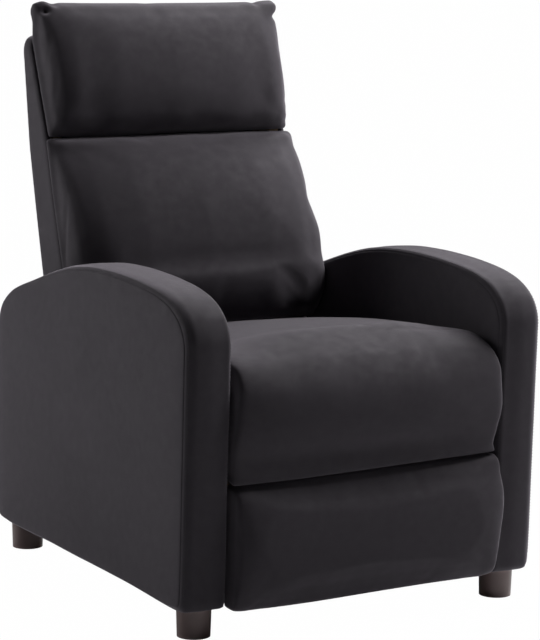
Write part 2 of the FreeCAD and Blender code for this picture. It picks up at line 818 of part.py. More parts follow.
keep(
    box(
        "front_rail_board", ("-seat_rail_outer", "seat_rail_outer"), ("front_rail_front", "seat_rail_front"),
        ("seat_rail_low + front_rail_lift", "seat_rail_high"),
    ),
    "seat_front_rail",
)
keep(
    box(
        "rear_rail_board", ("-seat_plate_inner", "seat_plate_inner"),
        ("seat_frame_rear - seat_board", "seat_frame_rear"), ("seat_rail_low", "seat_rail_high"),
    ),
    "seat_rear_rail",
)


def spring_path(x):
    """One sinuous spring: as many half turns as have room, joined by straight runs, with a
    straight lead at each end."""
    z = value("spring_z")
    start = value("spring_front")
    end = value("spring_rear")
    run = value("spring_run")
    radius = value("spring_turn_radius")
    step = 2 * radius
    turns = 2 * int((end - start - step) / step / 2)
    lead = (end - start - (turns + 1) * step) / 2
    edges = []
    here = Vector(x, start, z)
    there = here + Vector(0, lead, 0)
    edges.append(Part.LineSegment(here, there).toShape())
    hand = 1
    slant = math.sqrt(0.5)
    corner = there + Vector(hand * radius, radius, 0)
    middle = there + Vector(hand * radius * (1 - slant), radius * slant, 0)
    edges.append(Part.Arc(there, middle, corner).toShape())
    here = corner
    for turn in range(turns):
        length = run / 2 if turn == 0 else run
        there = here + Vector(hand * length, 0, 0)
        edges.append(Part.LineSegment(here, there).toShape())
        after = there + Vector(0, step, 0)
        edges.append(Part.Arc(there, there + Vector(hand * radius, radius, 0), after).toShape())
        here = after
        hand = -hand
    there = here + Vector(hand * run / 2, 0, 0)
    edges.append(Part.LineSegment(here, there).toShape())
    corner = there + Vector(hand * radius, radius, 0)
    middle = there + Vector(hand * radius * slant, radius * (1 - slant), 0)
    edges.append(Part.Arc(there, middle, corner).toShape())
    edges.append(Part.LineSegment(corner, Vector(corner.x, end, z)).toShape())
    return Part.Wire(edges)


springs = []
clips = []
for index in range(int(value("spring_count"))):
    x = (index - (value("spring_count") - 1) / 2) * value("spring_pitch")
    path = spring_path(x)
    start = path.Edges[0].firstVertex().Point
    ring = Part.Wire(Part.Circle(start, Vector(0, 1, 0), value("spring_wire_radius")).toShape())
    springs.append(path.makePipeShell([ring], True, False))
    last = path.Edges[-1].lastVertex().Point.x
    for place, y in ((x, "seat_rail_front"), (last, "spring_rear")):
        low = value("seat_rail_high - clip_height - soft_gap")
        clips.append(Part.makeBox(
            value("clip_width"), value("clip_depth"), value("clip_height"),
            Vector(place - value("clip_width / 2"), value(y), low),
        ))
soft("seat_springs", Part.makeCompound(springs + clips))


def seat_wire(x, part):
    """Side view of the seat cushion, between its middle and side forms."""
    front = -value("half_depth")
    rear = value("seat_rear")
    under = value("seat_low_front")
    height = value("seat_crest") - under
    spots = []
    for middle, side in zip(SEAT_MIDDLE_SHARES, SEAT_SIDE_SHARES):
        share = between(middle, side, part)
        spots.append((front + share[0] * (rear - front), under + share[1] * height))
    low = value("seat_low")
    lip = value("front_rail_front - soft_gap")
    steps = [spots[0], (spots[1], spots[2]), (spots[3], spots[4]), (spots[5], spots[6]), (spots[7], spots[8])]
    steps += [(lip, under), (lip, low), (spots[0][0], low)]
    return side_wire(x, steps)


seat_wires = [seat_wire(place * value("soft_half"), part) for place, part in SEAT_SECTION_SHARES]
soft("seat_cushion", ruled(seat_wires))

# Swing links and footrest links. The first layer is next to the seat plate.
for side, sign in SIDES:
    for end in ("front", "rear"):
        foot = (end + "_swing_foot", "swing_low_height")
        top = (end + "_swing_top", "swing_top_z")
        keep(
            bar(
                "%s_%s_swing" % (side, end), sign, "swing_inner", foot, top,
                ((foot, "running_radius"), (top, "running_radius")),
            ),
            "%s_%s_swing_link" % (side, end),
        )

front_pivot = ("front_pivot_y", "front_pivot_z")
rear_pivot = ("rear_pivot_y", "rear_pivot_z")
knee = ("knee_y", "knee_z")
tail = ("tail_y", "tail_z")
heel = ("heel_y", "heel_z")
toe = ("toe_y", "toe_z")
brace = ("brace_y", "brace_z")


def link_pin(name, sign, spot):
    """A rivet through the first two layers, headed on the inside."""
    return headed(
        name, "x", sign, "pin_radius", "pin_head_radius", spot,
        "second_layer - pin_end_play", "first_layer + steel", "pin_head_length",
    )


main_pins = []
rear_pins = []
footrest_pins = []
flange_screws = []
for side, sign in SIDES:
    keep(
        bar(
            side + "_main_link_bar", sign, "first_layer", front_pivot, tail,
            ((front_pivot, "running_radius"), (knee, "pin_radius"), (tail, "pin_radius")),
        ),
        side + "_main_footrest_link",
    )
    keep(
        bar(
            side + "_rear_link_bar", sign, "first_layer", rear_pivot, heel,
            ((rear_pivot, "running_radius"), (heel, "pin_radius")),
        ),
        side + "_rear_footrest_link",
    )
    keep(
        bar(
            side + "_upper_link_bar", sign, "second_layer", heel, toe,
            ((heel, "running_radius"), (knee, "running_radius"), (toe, "running_radius")),
        ),
        side + "_upper_footrest_link",
    )
    keep(
        bar(
            side + "_extension_link_bar", sign, "second_layer", tail, brace,
            ((tail, "running_radius"), (brace, "running_radius")),
        ),
        side + "_extension_link",
    )
    main_pins += [link_pin(side + "_knee_pin", sign, knee), link_pin(side + "_tail_pin", sign, tail)]
    rear_pins.append(link_pin(side + "_heel_pin", sign, heel))
    pair = [link_pin(side + "_toe_pin", sign, toe), link_pin(side + "_brace_pin", sign, brace)]
    footrest_pins += pair
    corners = (
        ("flange_rear", "bracket_high"),
        ("toe_y", "toe_z + bracket_margin"),
        ("toe_y + bracket_margin", "toe_z"),
        ("brace_y + bracket_margin", "brace_z"),
        ("brace_y", "brace_z - bracket_margin"),
        ("flange_rear", "bracket_low"),
    )
    web = plate(side + "_bracket_web", sign, "first_layer", "steel", corners)
    flange = box(
        side + "_bracket_flange", across(sign, "first_layer + steel - flange_width", "first_layer + steel"),
        ("board_rear", "flange_rear"), ("bracket_low", "bracket_high"),
    )
    screws = [
        headed(
            "%s_%s_flange_screw" % (side, spot), "y", -1, "screw_radius", "screw_head_radius",
            (across(sign, "flange_screw_x", "flange_screw_x")[0], height),
            "flange_rear", "flange_rear - steel - screw_grip", "screw_head_length",
        )
        for spot, height in (
            ("low", "bracket_low + flange_screw_margin"), ("high", "bracket_high - flange_screw_margin"),
        )
    ]
    flange_screws += screws
    keep(
        cut(side + "_bracket_cut", fused(side + "_bracket_whole", [web, flange]), pair + screws),
        side + "_footrest_bracket",
    )
keep(group("main_pin_set", main_pins), "main_link_pins")
keep(group("rear_pin_set", rear_pins), "rear_link_pins")
keep(group("footrest_pin_set", footrest_pins), "footrest_pins")
keep(group("flange_screw_set", flange_screws), "footrest_screws")
tube_spot = ("tube_y", "tube_z")
keep(
    cut(
        "torque_tube_cut",
        rod("torque_tube_bar", "x", "torque_tube_radius", tube_spot, "-first_layer", "first_layer"),
        [rod(
            "torque_tube_bore", "x", "torque_tube_radius - torque_tube_wall", tube_spot,
            "-first_layer - overrun", "first_layer + overrun",
        )],
    ),
    "footrest_torque_tube",
)

# Footrest board and pad
keep(
    cut(
        "footrest_board_cut",
        box(
            "footrest_board_blank", ("-board_half_width", "board_half_width"),
            ("board_front", "board_rear"), ("board_low", "board_high"),
        ),
        flange_screws,
    ),
    "footrest_board",
)


def pad_wire(x, side):
    """Side view of the footrest pad: flat on its board, bulging in front."""
    pull = value("pad_draw_in") * side
    rear = value("pad_rear")
    reach = rear + value("half_depth") - pull / 3
    low = value("pad_low") + pull / 2
    high = value("pad_high") - pull / 2
    spots = [(rear - out * reach, low + up * (high - low)) for out, up in PAD_SHARES]
    return side_wire(x, [(rear, high)] + list(zip(spots[::2], spots[1::2])))


pad_wires = [pad_wire(place * value("soft_half"), side) for place, side in PAD_SECTION_SHARES]
soft("footrest_pad", ruled(pad_wires))


# Back
def back_spot(share):
    return (
        value("back_front") + share[0] * value("back_depth"),
        value("back_low") + share[1] * value("back_height"),
    )


def back_formula(share, shift="0"):
    """A point of the back in side view as formulas, shifted along Y."""
    return (
        "back_front + %s * back_depth + (%s)" % (share[0], shift),
        "back_low + %s * back_height" % share[1],
    )


def at_height(shares, level):
    """The outline's point at one share of the height, between its corners."""
    for low, high in zip(shares, shares[1:]):
        if level <= high[1]:
            part = (level - low[1]) / (high[1] - low[1])
            return low[0] + part * (high[0] - low[0]), level
    return shares[-1][0], level


def back_wire(x, side):
    """Side view of the back's cover; at its sides the top drops and the rear draws in."""
    pull = value("back_cover_draw_in") * side
    drop = value("back_cover_top_drop") * side
    tall = (value("back_height") - drop) / value("back_height")
    front = [back_spot((share[0] * tall, share[1] * tall)) for share in BACK_FRONT_SHARES]
    rear = [back_spot((share[0], share[1] * tall)) for share in BACK_REAR_SHARES]
    rear = [(y - pull, z) for y, z in rear]
    crest = back_spot((BACK_TOP_SHARE[0], BACK_TOP_SHARE[1] * tall))
    steps = [front[0], (front[1], front[2]), (front[3], front[4]), (front[5], front[6])]
    steps.append(((crest[0] - pull / 2, crest[1]), rear[6]))
    steps += [(rear[5], rear[4]), (rear[3], rear[2]), (rear[1], rear[0])]
    return side_wire(x, steps)


def stretch(shares, low, high):
    """The outline's points between two levels, both ends included."""
    inside = [share for share in shares if low < share[1] < high]
    return [at_height(shares, low)] + inside + [at_height(shares, high)]


def board_corners(low, high, front_shift, rear_shift, rear_shares=BACK_FRONT_SHARES):
    """Corners of a board in the back between two levels, its faces shifted along Y."""
    front = stretch(BACK_FRONT_SHARES, low, high)
    rear = stretch(rear_shares, low, high)
    corners = [back_formula(share, front_shift) for share in front]
    corners += [back_formula(share, rear_shift) for share in reversed(rear)]
    return corners


rear_room = "-%s * (back_cover + soft_gap)" % COVER_SLOPE_SHARE
bracket_bolts = []
for side, sign in SIDES:
    bolts = [
        headed(
            "%s_back_bolt_%d" % (side, index), "x", sign, "bolt_radius", "bolt_head_radius",
            back_formula(share),
            "back_plate_inner", "back_plate_inner + bracket_bolt_length", "bolt_head_length",
        )
        for index, share in enumerate(BACK_BOLT_SHARES)
    ]
    bracket_bolts += bolts
    corners = (
        ("hinge_y - hinge_lobe", "hinge_z"),
        ("hinge_y - hinge_lobe / 2", "hinge_z - hinge_lobe"),
        ("hinge_y + hinge_lobe / 2", "hinge_z - hinge_lobe"),
        ("hinge_y + 2 * hinge_lobe", "hinge_z + hinge_lobe"),
        back_formula(BACK_BRACKET_SHARES[0]),
        back_formula(BACK_BRACKET_SHARES[1]),
        ("hinge_y - hinge_lobe / 2", "hinge_z + hinge_lobe"),
    )
    keep(
        cut(
            side + "_back_bracket_cut",
            plate(
                side + "_back_bracket_sheet", sign, "back_plate_inner", "steel", corners,
                ((("hinge_y", "hinge_z"), "running_radius"),),
            ),
            bolts,
        ),
        side + "_back_bracket",
    )
    post = plate(
        side + "_back_post_board", sign, "post_inner", "back_side_board",
        board_corners(POST_SHARES[0], POST_SHARES[1], "strap_room", rear_room, BACK_REAR_SHARES),
    )
    keep(cut(side + "_back_post_cut", post, bolts), side + "_back_post")
keep(group("bracket_bolt_set", bracket_bolts), "back_bracket_bolts")


def cross_board(name, low, high, front_shift, rear_shift, half):
    """A board of the back from side to side: a pad to both sides of the middle."""
    body, sketch = outlined(name, board_corners(low, high, front_shift, rear_shift))
    pad = body.newObject("PartDesign::Pad", name + "_pad")
    pad.Profile = sketch
    pad.Midplane = True
    bind(pad, "Length", "2 * (%s)" % half)
    return body


for name, (low, high) in BACK_RAIL_SHARES.items():
    keep(
        cross_board(name + "_board", low, high, "strap_room", "strap_room + back_rail_thick", "post_inner"),
        name,
    )
straps = [
    cross_board("strap_%d" % index, low, high, "strap_room - strap_thick", "strap_room", "post_outer")
    for index, (low, high) in enumerate(STRAP_SHARES)
]
keep(group("strap_set", straps), "back_straps")
doc.recompute()


def back_cover():
    """The padded cover of the back: its rear, sides and top, open towards the pillows."""
    skin = ruled([back_wire(place * value("back_half"), side) for place, side in BACK_SECTION_SHARES])
    half = value("post_outer + soft_gap")
    inset = COVER_SLOPE_SHARE * value("back_cover")
    far = value("back_front - back_depth")
    low = value("back_low - overrun")
    corners = [(far, low), (back_spot(BACK_REAR_SHARES[0])[0] - inset, low)]
    for share in BACK_REAR_SHARES[:-1]:
        y, z = back_spot(share)
        corners.append((y - inset, z))
    y, z = back_spot(at_height(BACK_REAR_SHARES, COVER_ROOM_SHARE))
    corners += [(y - inset, z), (far, z)]
    flat_corners = [Vector(-half, y, z) for y, z in corners]
    room = Part.Face(Part.makePolygon(flat_corners + flat_corners[:1])).extrude(Vector(2 * half, 0, 0))
    return skin.cut(room)


soft("back_cover", back_cover())


def pillow_wire(x, middle, side, part):
    """Side view of a pillow, between its middle and side forms, flat against the back."""
    spots = [back_spot(between(a, b, part)) for a, b in zip(middle, side)]
    gap = value("soft_gap")
    low = (middle[0][1] + side[0][1]) / 2
    high = min((middle[-1][1] + side[-1][1]) / 2, BACK_FRONT_SHARES[-1][1])
    rear = [back_spot(share) for share in stretch(BACK_FRONT_SHARES, low, high)]
    rear = [(y - gap, z) for y, z in rear]
    steps = [rear[0], spots[0], (spots[1], spots[2]), (spots[3], spots[4]), (spots[5], spots[6])]
    steps += list(reversed(rear[1:]))
    return side_wire(x, steps)


def pillow(half, middle, side):
    return ruled([pillow_wire(place * half, middle, side, part) for place, part in PILLOW_SECTION_SHARES])


soft("lumbar_cushion", pillow(value("pillow_half_width"), LUMBAR_MIDDLE_SHARES, LUMBAR_SIDE_SHARES))
soft("head_cushion", pillow(value("head_half_width"), HEAD_MIDDLE_SHARES, HEAD_SIDE_SHARES))

doc.recompute()
faults = [thing.Name for thing in doc.Objects if {"Invalid", "Error"} & set(thing.State)]
faults += [node.Label for node in nodes if node.Shape.isNull() or not node.Shape.isValid()]
if faults:
    raise RuntimeError("These pieces failed: " + ", ".join(faults))
os.makedirs("parts", exist_ok=True)
for node in nodes:
    node.Shape.exportStep("parts/%s.step" % node.Label)
whole = Part.makeCompound([node.Shape for node in nodes])
print("nodes", len(nodes), "box", whole.BoundBox)
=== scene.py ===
import math

import bpy
import numpy as np
from mathutils import Matrix, Vector, noise
from mathutils.bvhtree import BVHTree


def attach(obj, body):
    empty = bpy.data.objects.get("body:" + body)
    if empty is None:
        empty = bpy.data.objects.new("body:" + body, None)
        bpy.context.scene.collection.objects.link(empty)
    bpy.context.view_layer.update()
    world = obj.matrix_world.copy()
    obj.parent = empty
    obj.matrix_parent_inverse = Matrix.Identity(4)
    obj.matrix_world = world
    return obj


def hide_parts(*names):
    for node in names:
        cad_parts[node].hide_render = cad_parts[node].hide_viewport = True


# Recliner armchair. Metres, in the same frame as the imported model: it faces -Y, +X is the
# sitter's left, +Z is up and the floor is at zero.
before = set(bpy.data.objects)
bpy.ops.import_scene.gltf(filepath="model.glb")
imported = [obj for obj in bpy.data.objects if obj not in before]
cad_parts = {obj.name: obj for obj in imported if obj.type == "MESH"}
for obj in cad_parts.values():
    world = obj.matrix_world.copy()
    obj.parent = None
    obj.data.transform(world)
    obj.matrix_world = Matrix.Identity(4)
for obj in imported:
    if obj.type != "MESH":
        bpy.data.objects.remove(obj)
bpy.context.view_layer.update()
scene = bpy.context.scene

MM = 0.001


# Meshes and numbers

def mesh_object(name, verts, faces, material, smooth=True):
    verts, faces = [tuple(map(float, v)) for v in verts], [tuple(map(int, f)) for f in faces]
    mesh = bpy.data.meshes.new(name)
    mesh.from_pydata(verts, [], faces)
    mesh.validate()
    mesh.update()
    obj = bpy.data.objects.new(name, mesh)
    scene.collection.objects.link(obj)
    mesh.materials.append(material)
    shade_smooth(mesh, smooth)
    return obj


def shade_smooth(mesh, smooth=True):
    mesh.polygons.foreach_set("use_smooth", [smooth] * len(mesh.polygons))


def coords(mesh):
    co = np.zeros(len(mesh.vertices) * 3)
    mesh.vertices.foreach_get("co", co)
    return co.reshape(-1, 3)


def set_coords(mesh, co):
    mesh.vertices.foreach_set("co", np.asarray(co, float).ravel())
    mesh.update()


def normals(mesh):
    no = np.zeros(len(mesh.vertices) * 3)
    mesh.vertices.foreach_get("normal", no)
    return no.reshape(-1, 3)


def surface(mesh):
    """The mesh's surface, to find places on."""
    return BVHTree.FromPolygons(
        [v.co.copy() for v in mesh.vertices], [tuple(p.vertices) for p in mesh.polygons]
    )


def evaluated(obj):
    """The object's mesh with its modifiers, as a new mesh."""
    graph = bpy.context.evaluated_depsgraph_get()
    return bpy.data.meshes.new_from_object(obj.evaluated_get(graph))


def applied(obj):
    """Turns the object's modifiers into its mesh."""
    mesh = evaluated(obj)
    obj.modifiers.clear()
    old = obj.data
    obj.data = mesh
    bpy.data.meshes.remove(old)


def smooth_step(x, low, high):
    t = np.clip((np.asarray(x, float) - low) / (high - low), 0, 1)
    return t * t * (3 - 2 * t)


def field(points, scale, seed):
    """Smooth noise between about -1 and 1, with features of about scale metres."""
    shift = Vector((seed * 7.31, seed * 3.17, seed * 5.23))
    return np.array([noise.noise(Vector(p) / scale + shift) for p in points])


def path_length(points):
    """The distance along a path to each of its points."""
    return np.r_[0, np.cumsum(np.linalg.norm(np.diff(points, axis=0), axis=1))]


CURVE_STEPS = 24  # per span
TINY = 1e-9


def smooth_loop(points, count):
    """Points evenly along a smooth closed curve through the given ones."""
    pts = np.asarray(points, float)
    n = len(pts)
    dense = []
    for i in range(n):
        p0, p1, p2, p3 = (pts[(i + k) % n] for k in (-1, 0, 1, 2))
        t01, t12, t23 = (
            max(np.linalg.norm(b - a), TINY) ** 0.5 for a, b in ((p0, p1), (p1, p2), (p2, p3))
        )
        m1 = (p2 - p1) + t12 * ((p1 - p0) / t01 - (p2 - p0) / (t01 + t12))
        m2 = (p2 - p1) + t12 * ((p3 - p2) / t23 - (p3 - p1) / (t12 + t23))
        for k in range(CURVE_STEPS):
            t = k / CURVE_STEPS
            dense.append(
                (2 * t**3 - 3 * t**2 + 1) * p1 + (t**3 - 2 * t**2 + t) * m1
                + (-2 * t**3 + 3 * t**2) * p2 + (t**3 - t**2) * m2
            )
    dense.append(pts[0])
    dense = np.array(dense)
    run = path_length(dense)
    want = np.linspace(0, run[-1], count + 1)[:-1]
    return np.stack([np.interp(want, run, dense[:, k]) for k in range(dense.shape[1])], 1)


# Materials

def shade(tone, share):
    return tuple(c * share for c in tone)


EDGE_SHARPNESS = 0.52, 0.60  # from where an edge starts to lighten to where it is lightest: rubbed wear, and on the fabric also a painted edge highlight
FACING_POWER = 3.0


class Shader:
    """A node material being built."""

    def __init__(self, name):
        self.material = bpy.data.materials.new(name)
        self.material.use_nodes = True
        self.tree = self.material.node_tree
        self.surface = self.tree.nodes["Principled BSDF"]
        self.place = self.add("ShaderNodeTexCoord").outputs["Object"]

    def add(self, kind, **values):
        node = self.tree.nodes.new(kind)
        for key, value in values.items():
            setattr(node, key, value)
        return node

    def put(self, socket, value):
        if hasattr(value, "is_output"):
            self.tree.links.new(value, socket)
        else:
            socket.default_value = value

    def math(self, operation, *values):
        node = self.add("ShaderNodeMath", operation=operation)
        for socket, value in zip(node.inputs, values):
            self.put(socket, value)
        return node.outputs[0]

    def scaled(self, factors):
        node = self.add("ShaderNodeVectorMath", operation="MULTIPLY")
        self.put(node.inputs[0], self.place)
        node.inputs[1].default_value = factors
        return node.outputs[0]

    def noise(self, scale, detail=2.0, vector=None, roughness=0.5):
        """Noise between 0 and 1, with about scale features to the metre."""
        node = self.add("ShaderNodeTexNoise")
        self.put(node.inputs["Vector"], vector or self.place)
        node.inputs["Scale"].default_value = scale
        node.inputs["Detail"].default_value = detail
        node.inputs["Roughness"].default_value = roughness
        return node.outputs["Fac"]

    def ramp(self, value, low, high, to_low=0.0, to_high=1.0):
        node = self.add("ShaderNodeMapRange")
        self.put(node.inputs["Value"], value)
        numbers = {"From Min": low, "From Max": high, "To Min": to_low, "To Max": to_high}
        for socket, number in numbers.items():
            node.inputs[socket].default_value = number
        return node.outputs[0]

    def mix(self, factor, a, b):
        node = self.add("ShaderNodeMix", data_type="RGBA")
        self.put(node.inputs["Factor"], factor)
        self.put(node.inputs["A"], a if hasattr(a, "is_output") else (*a, 1))
        self.put(node.inputs["B"], b if hasattr(b, "is_output") else (*b, 1))
        return node.outputs["Result"]

    def wave(self, axis, pitch):
        """A sine along one axis of the piece, from -1 to 1, one turn per pitch."""
        split = self.add("ShaderNodeSeparateXYZ")
        self.put(split.inputs[0], self.place)
        return self.math("SINE", self.math("MULTIPLY", split.outputs[axis], 2 * math.pi / pitch))

    def facing(self, axis):
        """How far the piece's own surface faces along one axis, from 0 to 1."""
        split = self.add("ShaderNodeSeparateXYZ")
        texture = self.add("ShaderNodeTexCoord")
        self.put(split.inputs[0], texture.outputs["Normal"])
        return self.math("POWER", self.math("ABSOLUTE", split.outputs[axis]), FACING_POWER)

    def bump(self, height, distance, strength, after=None):
        node = self.add("ShaderNodeBump")
        node.inputs["Strength"].default_value = strength
        node.inputs["Distance"].default_value = distance
        self.put(node.inputs["Height"], height)
        if after is not None:
            self.put(node.inputs["Normal"], after)
        return node.outputs["Normal"]

    def edge_wear_and_highlight(self, strength):
        """High along sharp outward edges: rubbed wear, and on the fabric also a painted edge
        highlight.
        """
        point = self.add("ShaderNodeNewGeometry").outputs["Pointiness"]
        return self.math("MULTIPLY", self.ramp(point, *EDGE_SHARPNESS), strength)

    def patchy(self, scale, detail, low, high):
        """A value between low and high that changes in patches, for roughness."""
        return self.ramp(self.noise(scale, detail), 0.3, 0.7, low, high)

    def finish(self, colour, roughness, normal=None, metallic=0.0):
        self.put(self.surface.inputs["Base Color"], colour)
        self.put(self.surface.inputs["Roughness"], roughness)
        self.put(self.surface.inputs["Metallic"], metallic)
        if normal is not None:
            self.put(self.surface.inputs["Normal"], normal)
        return self.material


WEAVE_PITCH = 1.1 * MM  # two threads
SHEEN, SHEEN_ROUGHNESS, SHEEN_TINT = 0.75, 0.45, (0.56, 0.515, 0.58, 1)
FABRIC_GLOSS = 0.3


def fabric(name, tone):
    """Plain-woven upholstery: over-and-under threads, a soft nap, uneven dye, and sharp edges
    lightened by rubbed nap and a painted edge highlight.
    """
    shader = Shader(name)
    waves = [shader.wave(axis, WEAVE_PITCH) for axis in "XYZ"]
    turned = []
    for k, axis in enumerate("XYZ"):
        crossed = shader.math("MULTIPLY", waves[(k + 1) % 3], waves[(k + 2) % 3])
        turned.append(shader.math("MULTIPLY", crossed, shader.facing(axis)))
    weave = shader.math("ADD", shader.math("ADD", turned[0], turned[1]), turned[2])
    nap = shader.noise(900.0, 2.0)
    height = shader.math("ADD", shader.math("MULTIPLY", weave, 0.5), nap)
    soft = shader.bump(shader.noise(26.0, 3.0), 0.6 * MM, 0.2)
    normal = shader.bump(height, 0.12 * MM, 0.5, soft)
    dye = shader.ramp(shader.noise(9.0, 4.0), 0.35, 0.65)
    cloudy = shader.mix(dye, shade(tone, 0.94), shade(tone, 1.05))
    threads = shader.mix(shader.ramp(height, 0.1, 1.1, 0.0, 0.35), cloudy, shade(tone, 1.55))
    # lighter along sharp edges: partly rubbed nap, partly a painted highlight where the rolled
    # edges catch the light
    colour = shader.mix(shader.edge_wear_and_highlight(0.25), threads, shade(tone, 1.7))
    shader.surface.inputs["Sheen Weight"].default_value = SHEEN
    shader.surface.inputs["Sheen Roughness"].default_value = SHEEN_ROUGHNESS
    shader.surface.inputs["Sheen Tint"].default_value = SHEEN_TINT
    shader.surface.inputs["Specular IOR Level"].default_value = FABRIC_GLOSS
    return shader.finish(colour, shader.patchy(60.0, 3.0, 0.72, 0.88), normal)


def thread(name, tone):
    """Sewing thread: a fine twist."""
    shader = Shader(name)
    twist = shader.noise(2400.0, 1.0)
    colour = shader.mix(twist, shade(tone, 0.8), shade(tone, 1.25))
    roughness = shader.ramp(twist, 0.2, 0.8, 0.5, 0.7)
    return shader.finish(colour, roughness, shader.bump(twist, 0.1 * MM, 0.5))


def moulded(name, tone):
    """Moulded plastic with a fine eggshell grain."""
    shader = Shader(name)
    grain = shader.noise(700.0, 3.0)
    cloudy = shader.mix(shader.noise(30.0, 3.0), shade(tone, 0.85), shade(tone, 1.2))
    colour = shader.mix(shader.edge_wear_and_highlight(0.4), cloudy, shade(tone, 2.4))
    return shader.finish(
        colour, shader.patchy(45.0, 4.0, 0.28, 0.42), shader.bump(grain, 0.08 * MM, 0.35)
    )


def painted(name, tone):
    """Black paint on steel, slightly orange-peeled, rubbed through at its edges."""
    shader = Shader(name)
    peel = shader.noise(420.0, 2.0)
    cloudy = shader.mix(shader.noise(22.0, 4.0), shade(tone, 0.8), shade(tone, 1.3))
    colour = shader.mix(shader.edge_wear_and_highlight(0.6), cloudy, (0.22, 0.21, 0.20))
    return shader.finish(
        colour, shader.patchy(80.0, 3.0, 0.30, 0.46), shader.bump(peel, 0.1 * MM, 0.3)
    )


def metal(name, tone, fine):
    """Plated or drawn steel with fine streaks and a dull bloom."""
    shader = Shader(name)
    streaks = shader.noise(1.0, 2.0, shader.scaled(fine))
    bloom = shader.noise(60.0, 4.0)
    colour = shader.mix(bloom, shade(tone, 0.72), tone)
    roughness = shader.ramp(bloom, 0.3, 0.7, 0.28, 0.5)
    return shader.finish(colour, roughness, shader.bump(streaks, 0.05 * MM, 0.4), metallic=1.0)


def drawn_along(axis, along, across):
    """How close a pattern is along each axis when it is drawn out along one."""
    return tuple(along if letter == axis else across for letter in "XYZ")


def timber(name, early, late, along, plies=0.0):
    """Sawn wood: grain drawn out along one axis, and dark pores. Plies adds layers across X."""
    shader = Shader(name)
    rings = shader.noise(1.0, 4.0, shader.scaled(drawn_along(along, 2.2, 38.0)), 0.62)
    bands = shader.math("FRACT", shader.math("MULTIPLY", rings, 7.0))
    pores = shader.noise(1.0, 2.0, shader.scaled(drawn_along(along, 30.0, 900.0)))
    colour = shader.mix(shader.ramp(bands, 0.15, 0.95), early, late)
    colour = shader.mix(shader.ramp(pores, 0.62, 0.78, 0.0, 0.5), colour, shade(late, 0.5))
    if plies:
        layers = shader.ramp(shader.wave("X", plies), -0.2, 0.2)
        edge = shader.math("SUBTRACT", 1.0, shader.facing("X"))
        share = shader.math("MULTIPLY", shader.math("MULTIPLY", layers, edge), 0.55)
        colour = shader.mix(share, colour, shade(late, 0.55))
    height = shader.math("ADD", bands, shader.math("MULTIPLY", pores, 2.0))
    roughness = shader.ramp(pores, 0.3, 0.7, 0.6, 0.8)
    return shader.finish(colour, roughness, shader.bump(height, 0.2 * MM, 0.4))


def strap_webbing(name, tone):
    """Ribbed elastic webbing, ribs running across the chair."""
    shader = Shader(name)
    ribs = shader.wave("Z", 1.6 * MM)
    weft = shader.wave("X", 0.9 * MM)
    height = shader.math("ADD", ribs, shader.math("MULTIPLY", weft, 0.5))
    colour = shader.mix(shader.ramp(height, -1.2, 1.2), shade(tone, 0.55), tone)
    stripes = shader.ramp(shader.wave("Z", 13.0 * MM), 0.75, 0.9)
    colour = shader.mix(stripes, colour, shade(tone, 0.3))
    return shader.finish(
        colour, shader.patchy(90.0, 2.0, 0.7, 0.9), shader.bump(height, 0.3 * MM, 0.6)
    )


upholstery = fabric("upholstery_fabric", (0.0405, 0.0350, 0.0425))
sewing = thread("sewing_thread", (0.032, 0.029, 0.034))
foot_plastic = moulded("foot_plastic_dark", (0.200, 0.145, 0.140))
black_steel = painted("black_steel_paint", (0.018, 0.018, 0.019))
zinc = metal("zinc_plate", (0.62, 0.63, 0.66), (60.0, 60.0, 900.0))
spring_steel = metal("drawn_spring_steel", (0.34, 0.33, 0.32), (900.0, 60.0, 900.0))
PINE = (0.62, 0.42, 0.22), (0.42, 0.24, 0.10)  # early and late wood
PLYWOOD = (0.58, 0.40, 0.23), (0.44, 0.28, 0.14)
pine_x = timber("pine_along_x", *PINE, "X")
pine_y = timber("pine_along_y", *PINE, "Y")
ply_z = timber("plywood_on_edge", *PLYWOOD, "Z", plies=3.0 * MM)
ply_x = timber("plywood_flat", *PLYWOOD, "X")
elastic = strap_webbing("elastic_webbing", (0.10, 0.095, 0.09))

# A node has the first look whose word its name holds.
NODE_LOOKS = {
    "bolts": zinc, "studs": zinc, "pins": zinc, "screws": zinc,
    "seat_front_rail": pine_x, "seat_rear_rail": pine_x, "back_bottom_rail": pine_x,
    "back_middle_rail": pine_x, "back_top_rail": pine_x,
    "seat_springs": spring_steel, "back_straps": elastic,
    "arm_panel": ply_z, "arm_sill": pine_y, "stretcher": pine_x, "seat_rail": pine_y,
    "back_post": ply_z, "footrest_board": ply_x, "footrest_pad": upholstery,
    "seat_plate": black_steel, "base_rail": black_steel, "torque_tube": black_steel,
    "link": black_steel, "bracket": black_steel,
    "padding": upholstery, "cushion": upholstery, "cover": upholstery, "foot": foot_plastic,
}
for name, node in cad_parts.items():
    node.data.materials.clear()
    node.data.materials.append(next(look for word, look in NODE_LOOKS.items() if word in name))


# Camera, floor and light

AZIMUTH, ELEVATION, ROLL = (math.radians(a) for a in (-29.0376, 8.7149, 0.7525))
AIM = Vector((0, -0.056, 0.480))
DISTANCE = 4.560865
SENSOR, LENS = 36, 143.8  # mm
SHIFT = 0.00612, -0.01345
CLIP = 0.05, 100


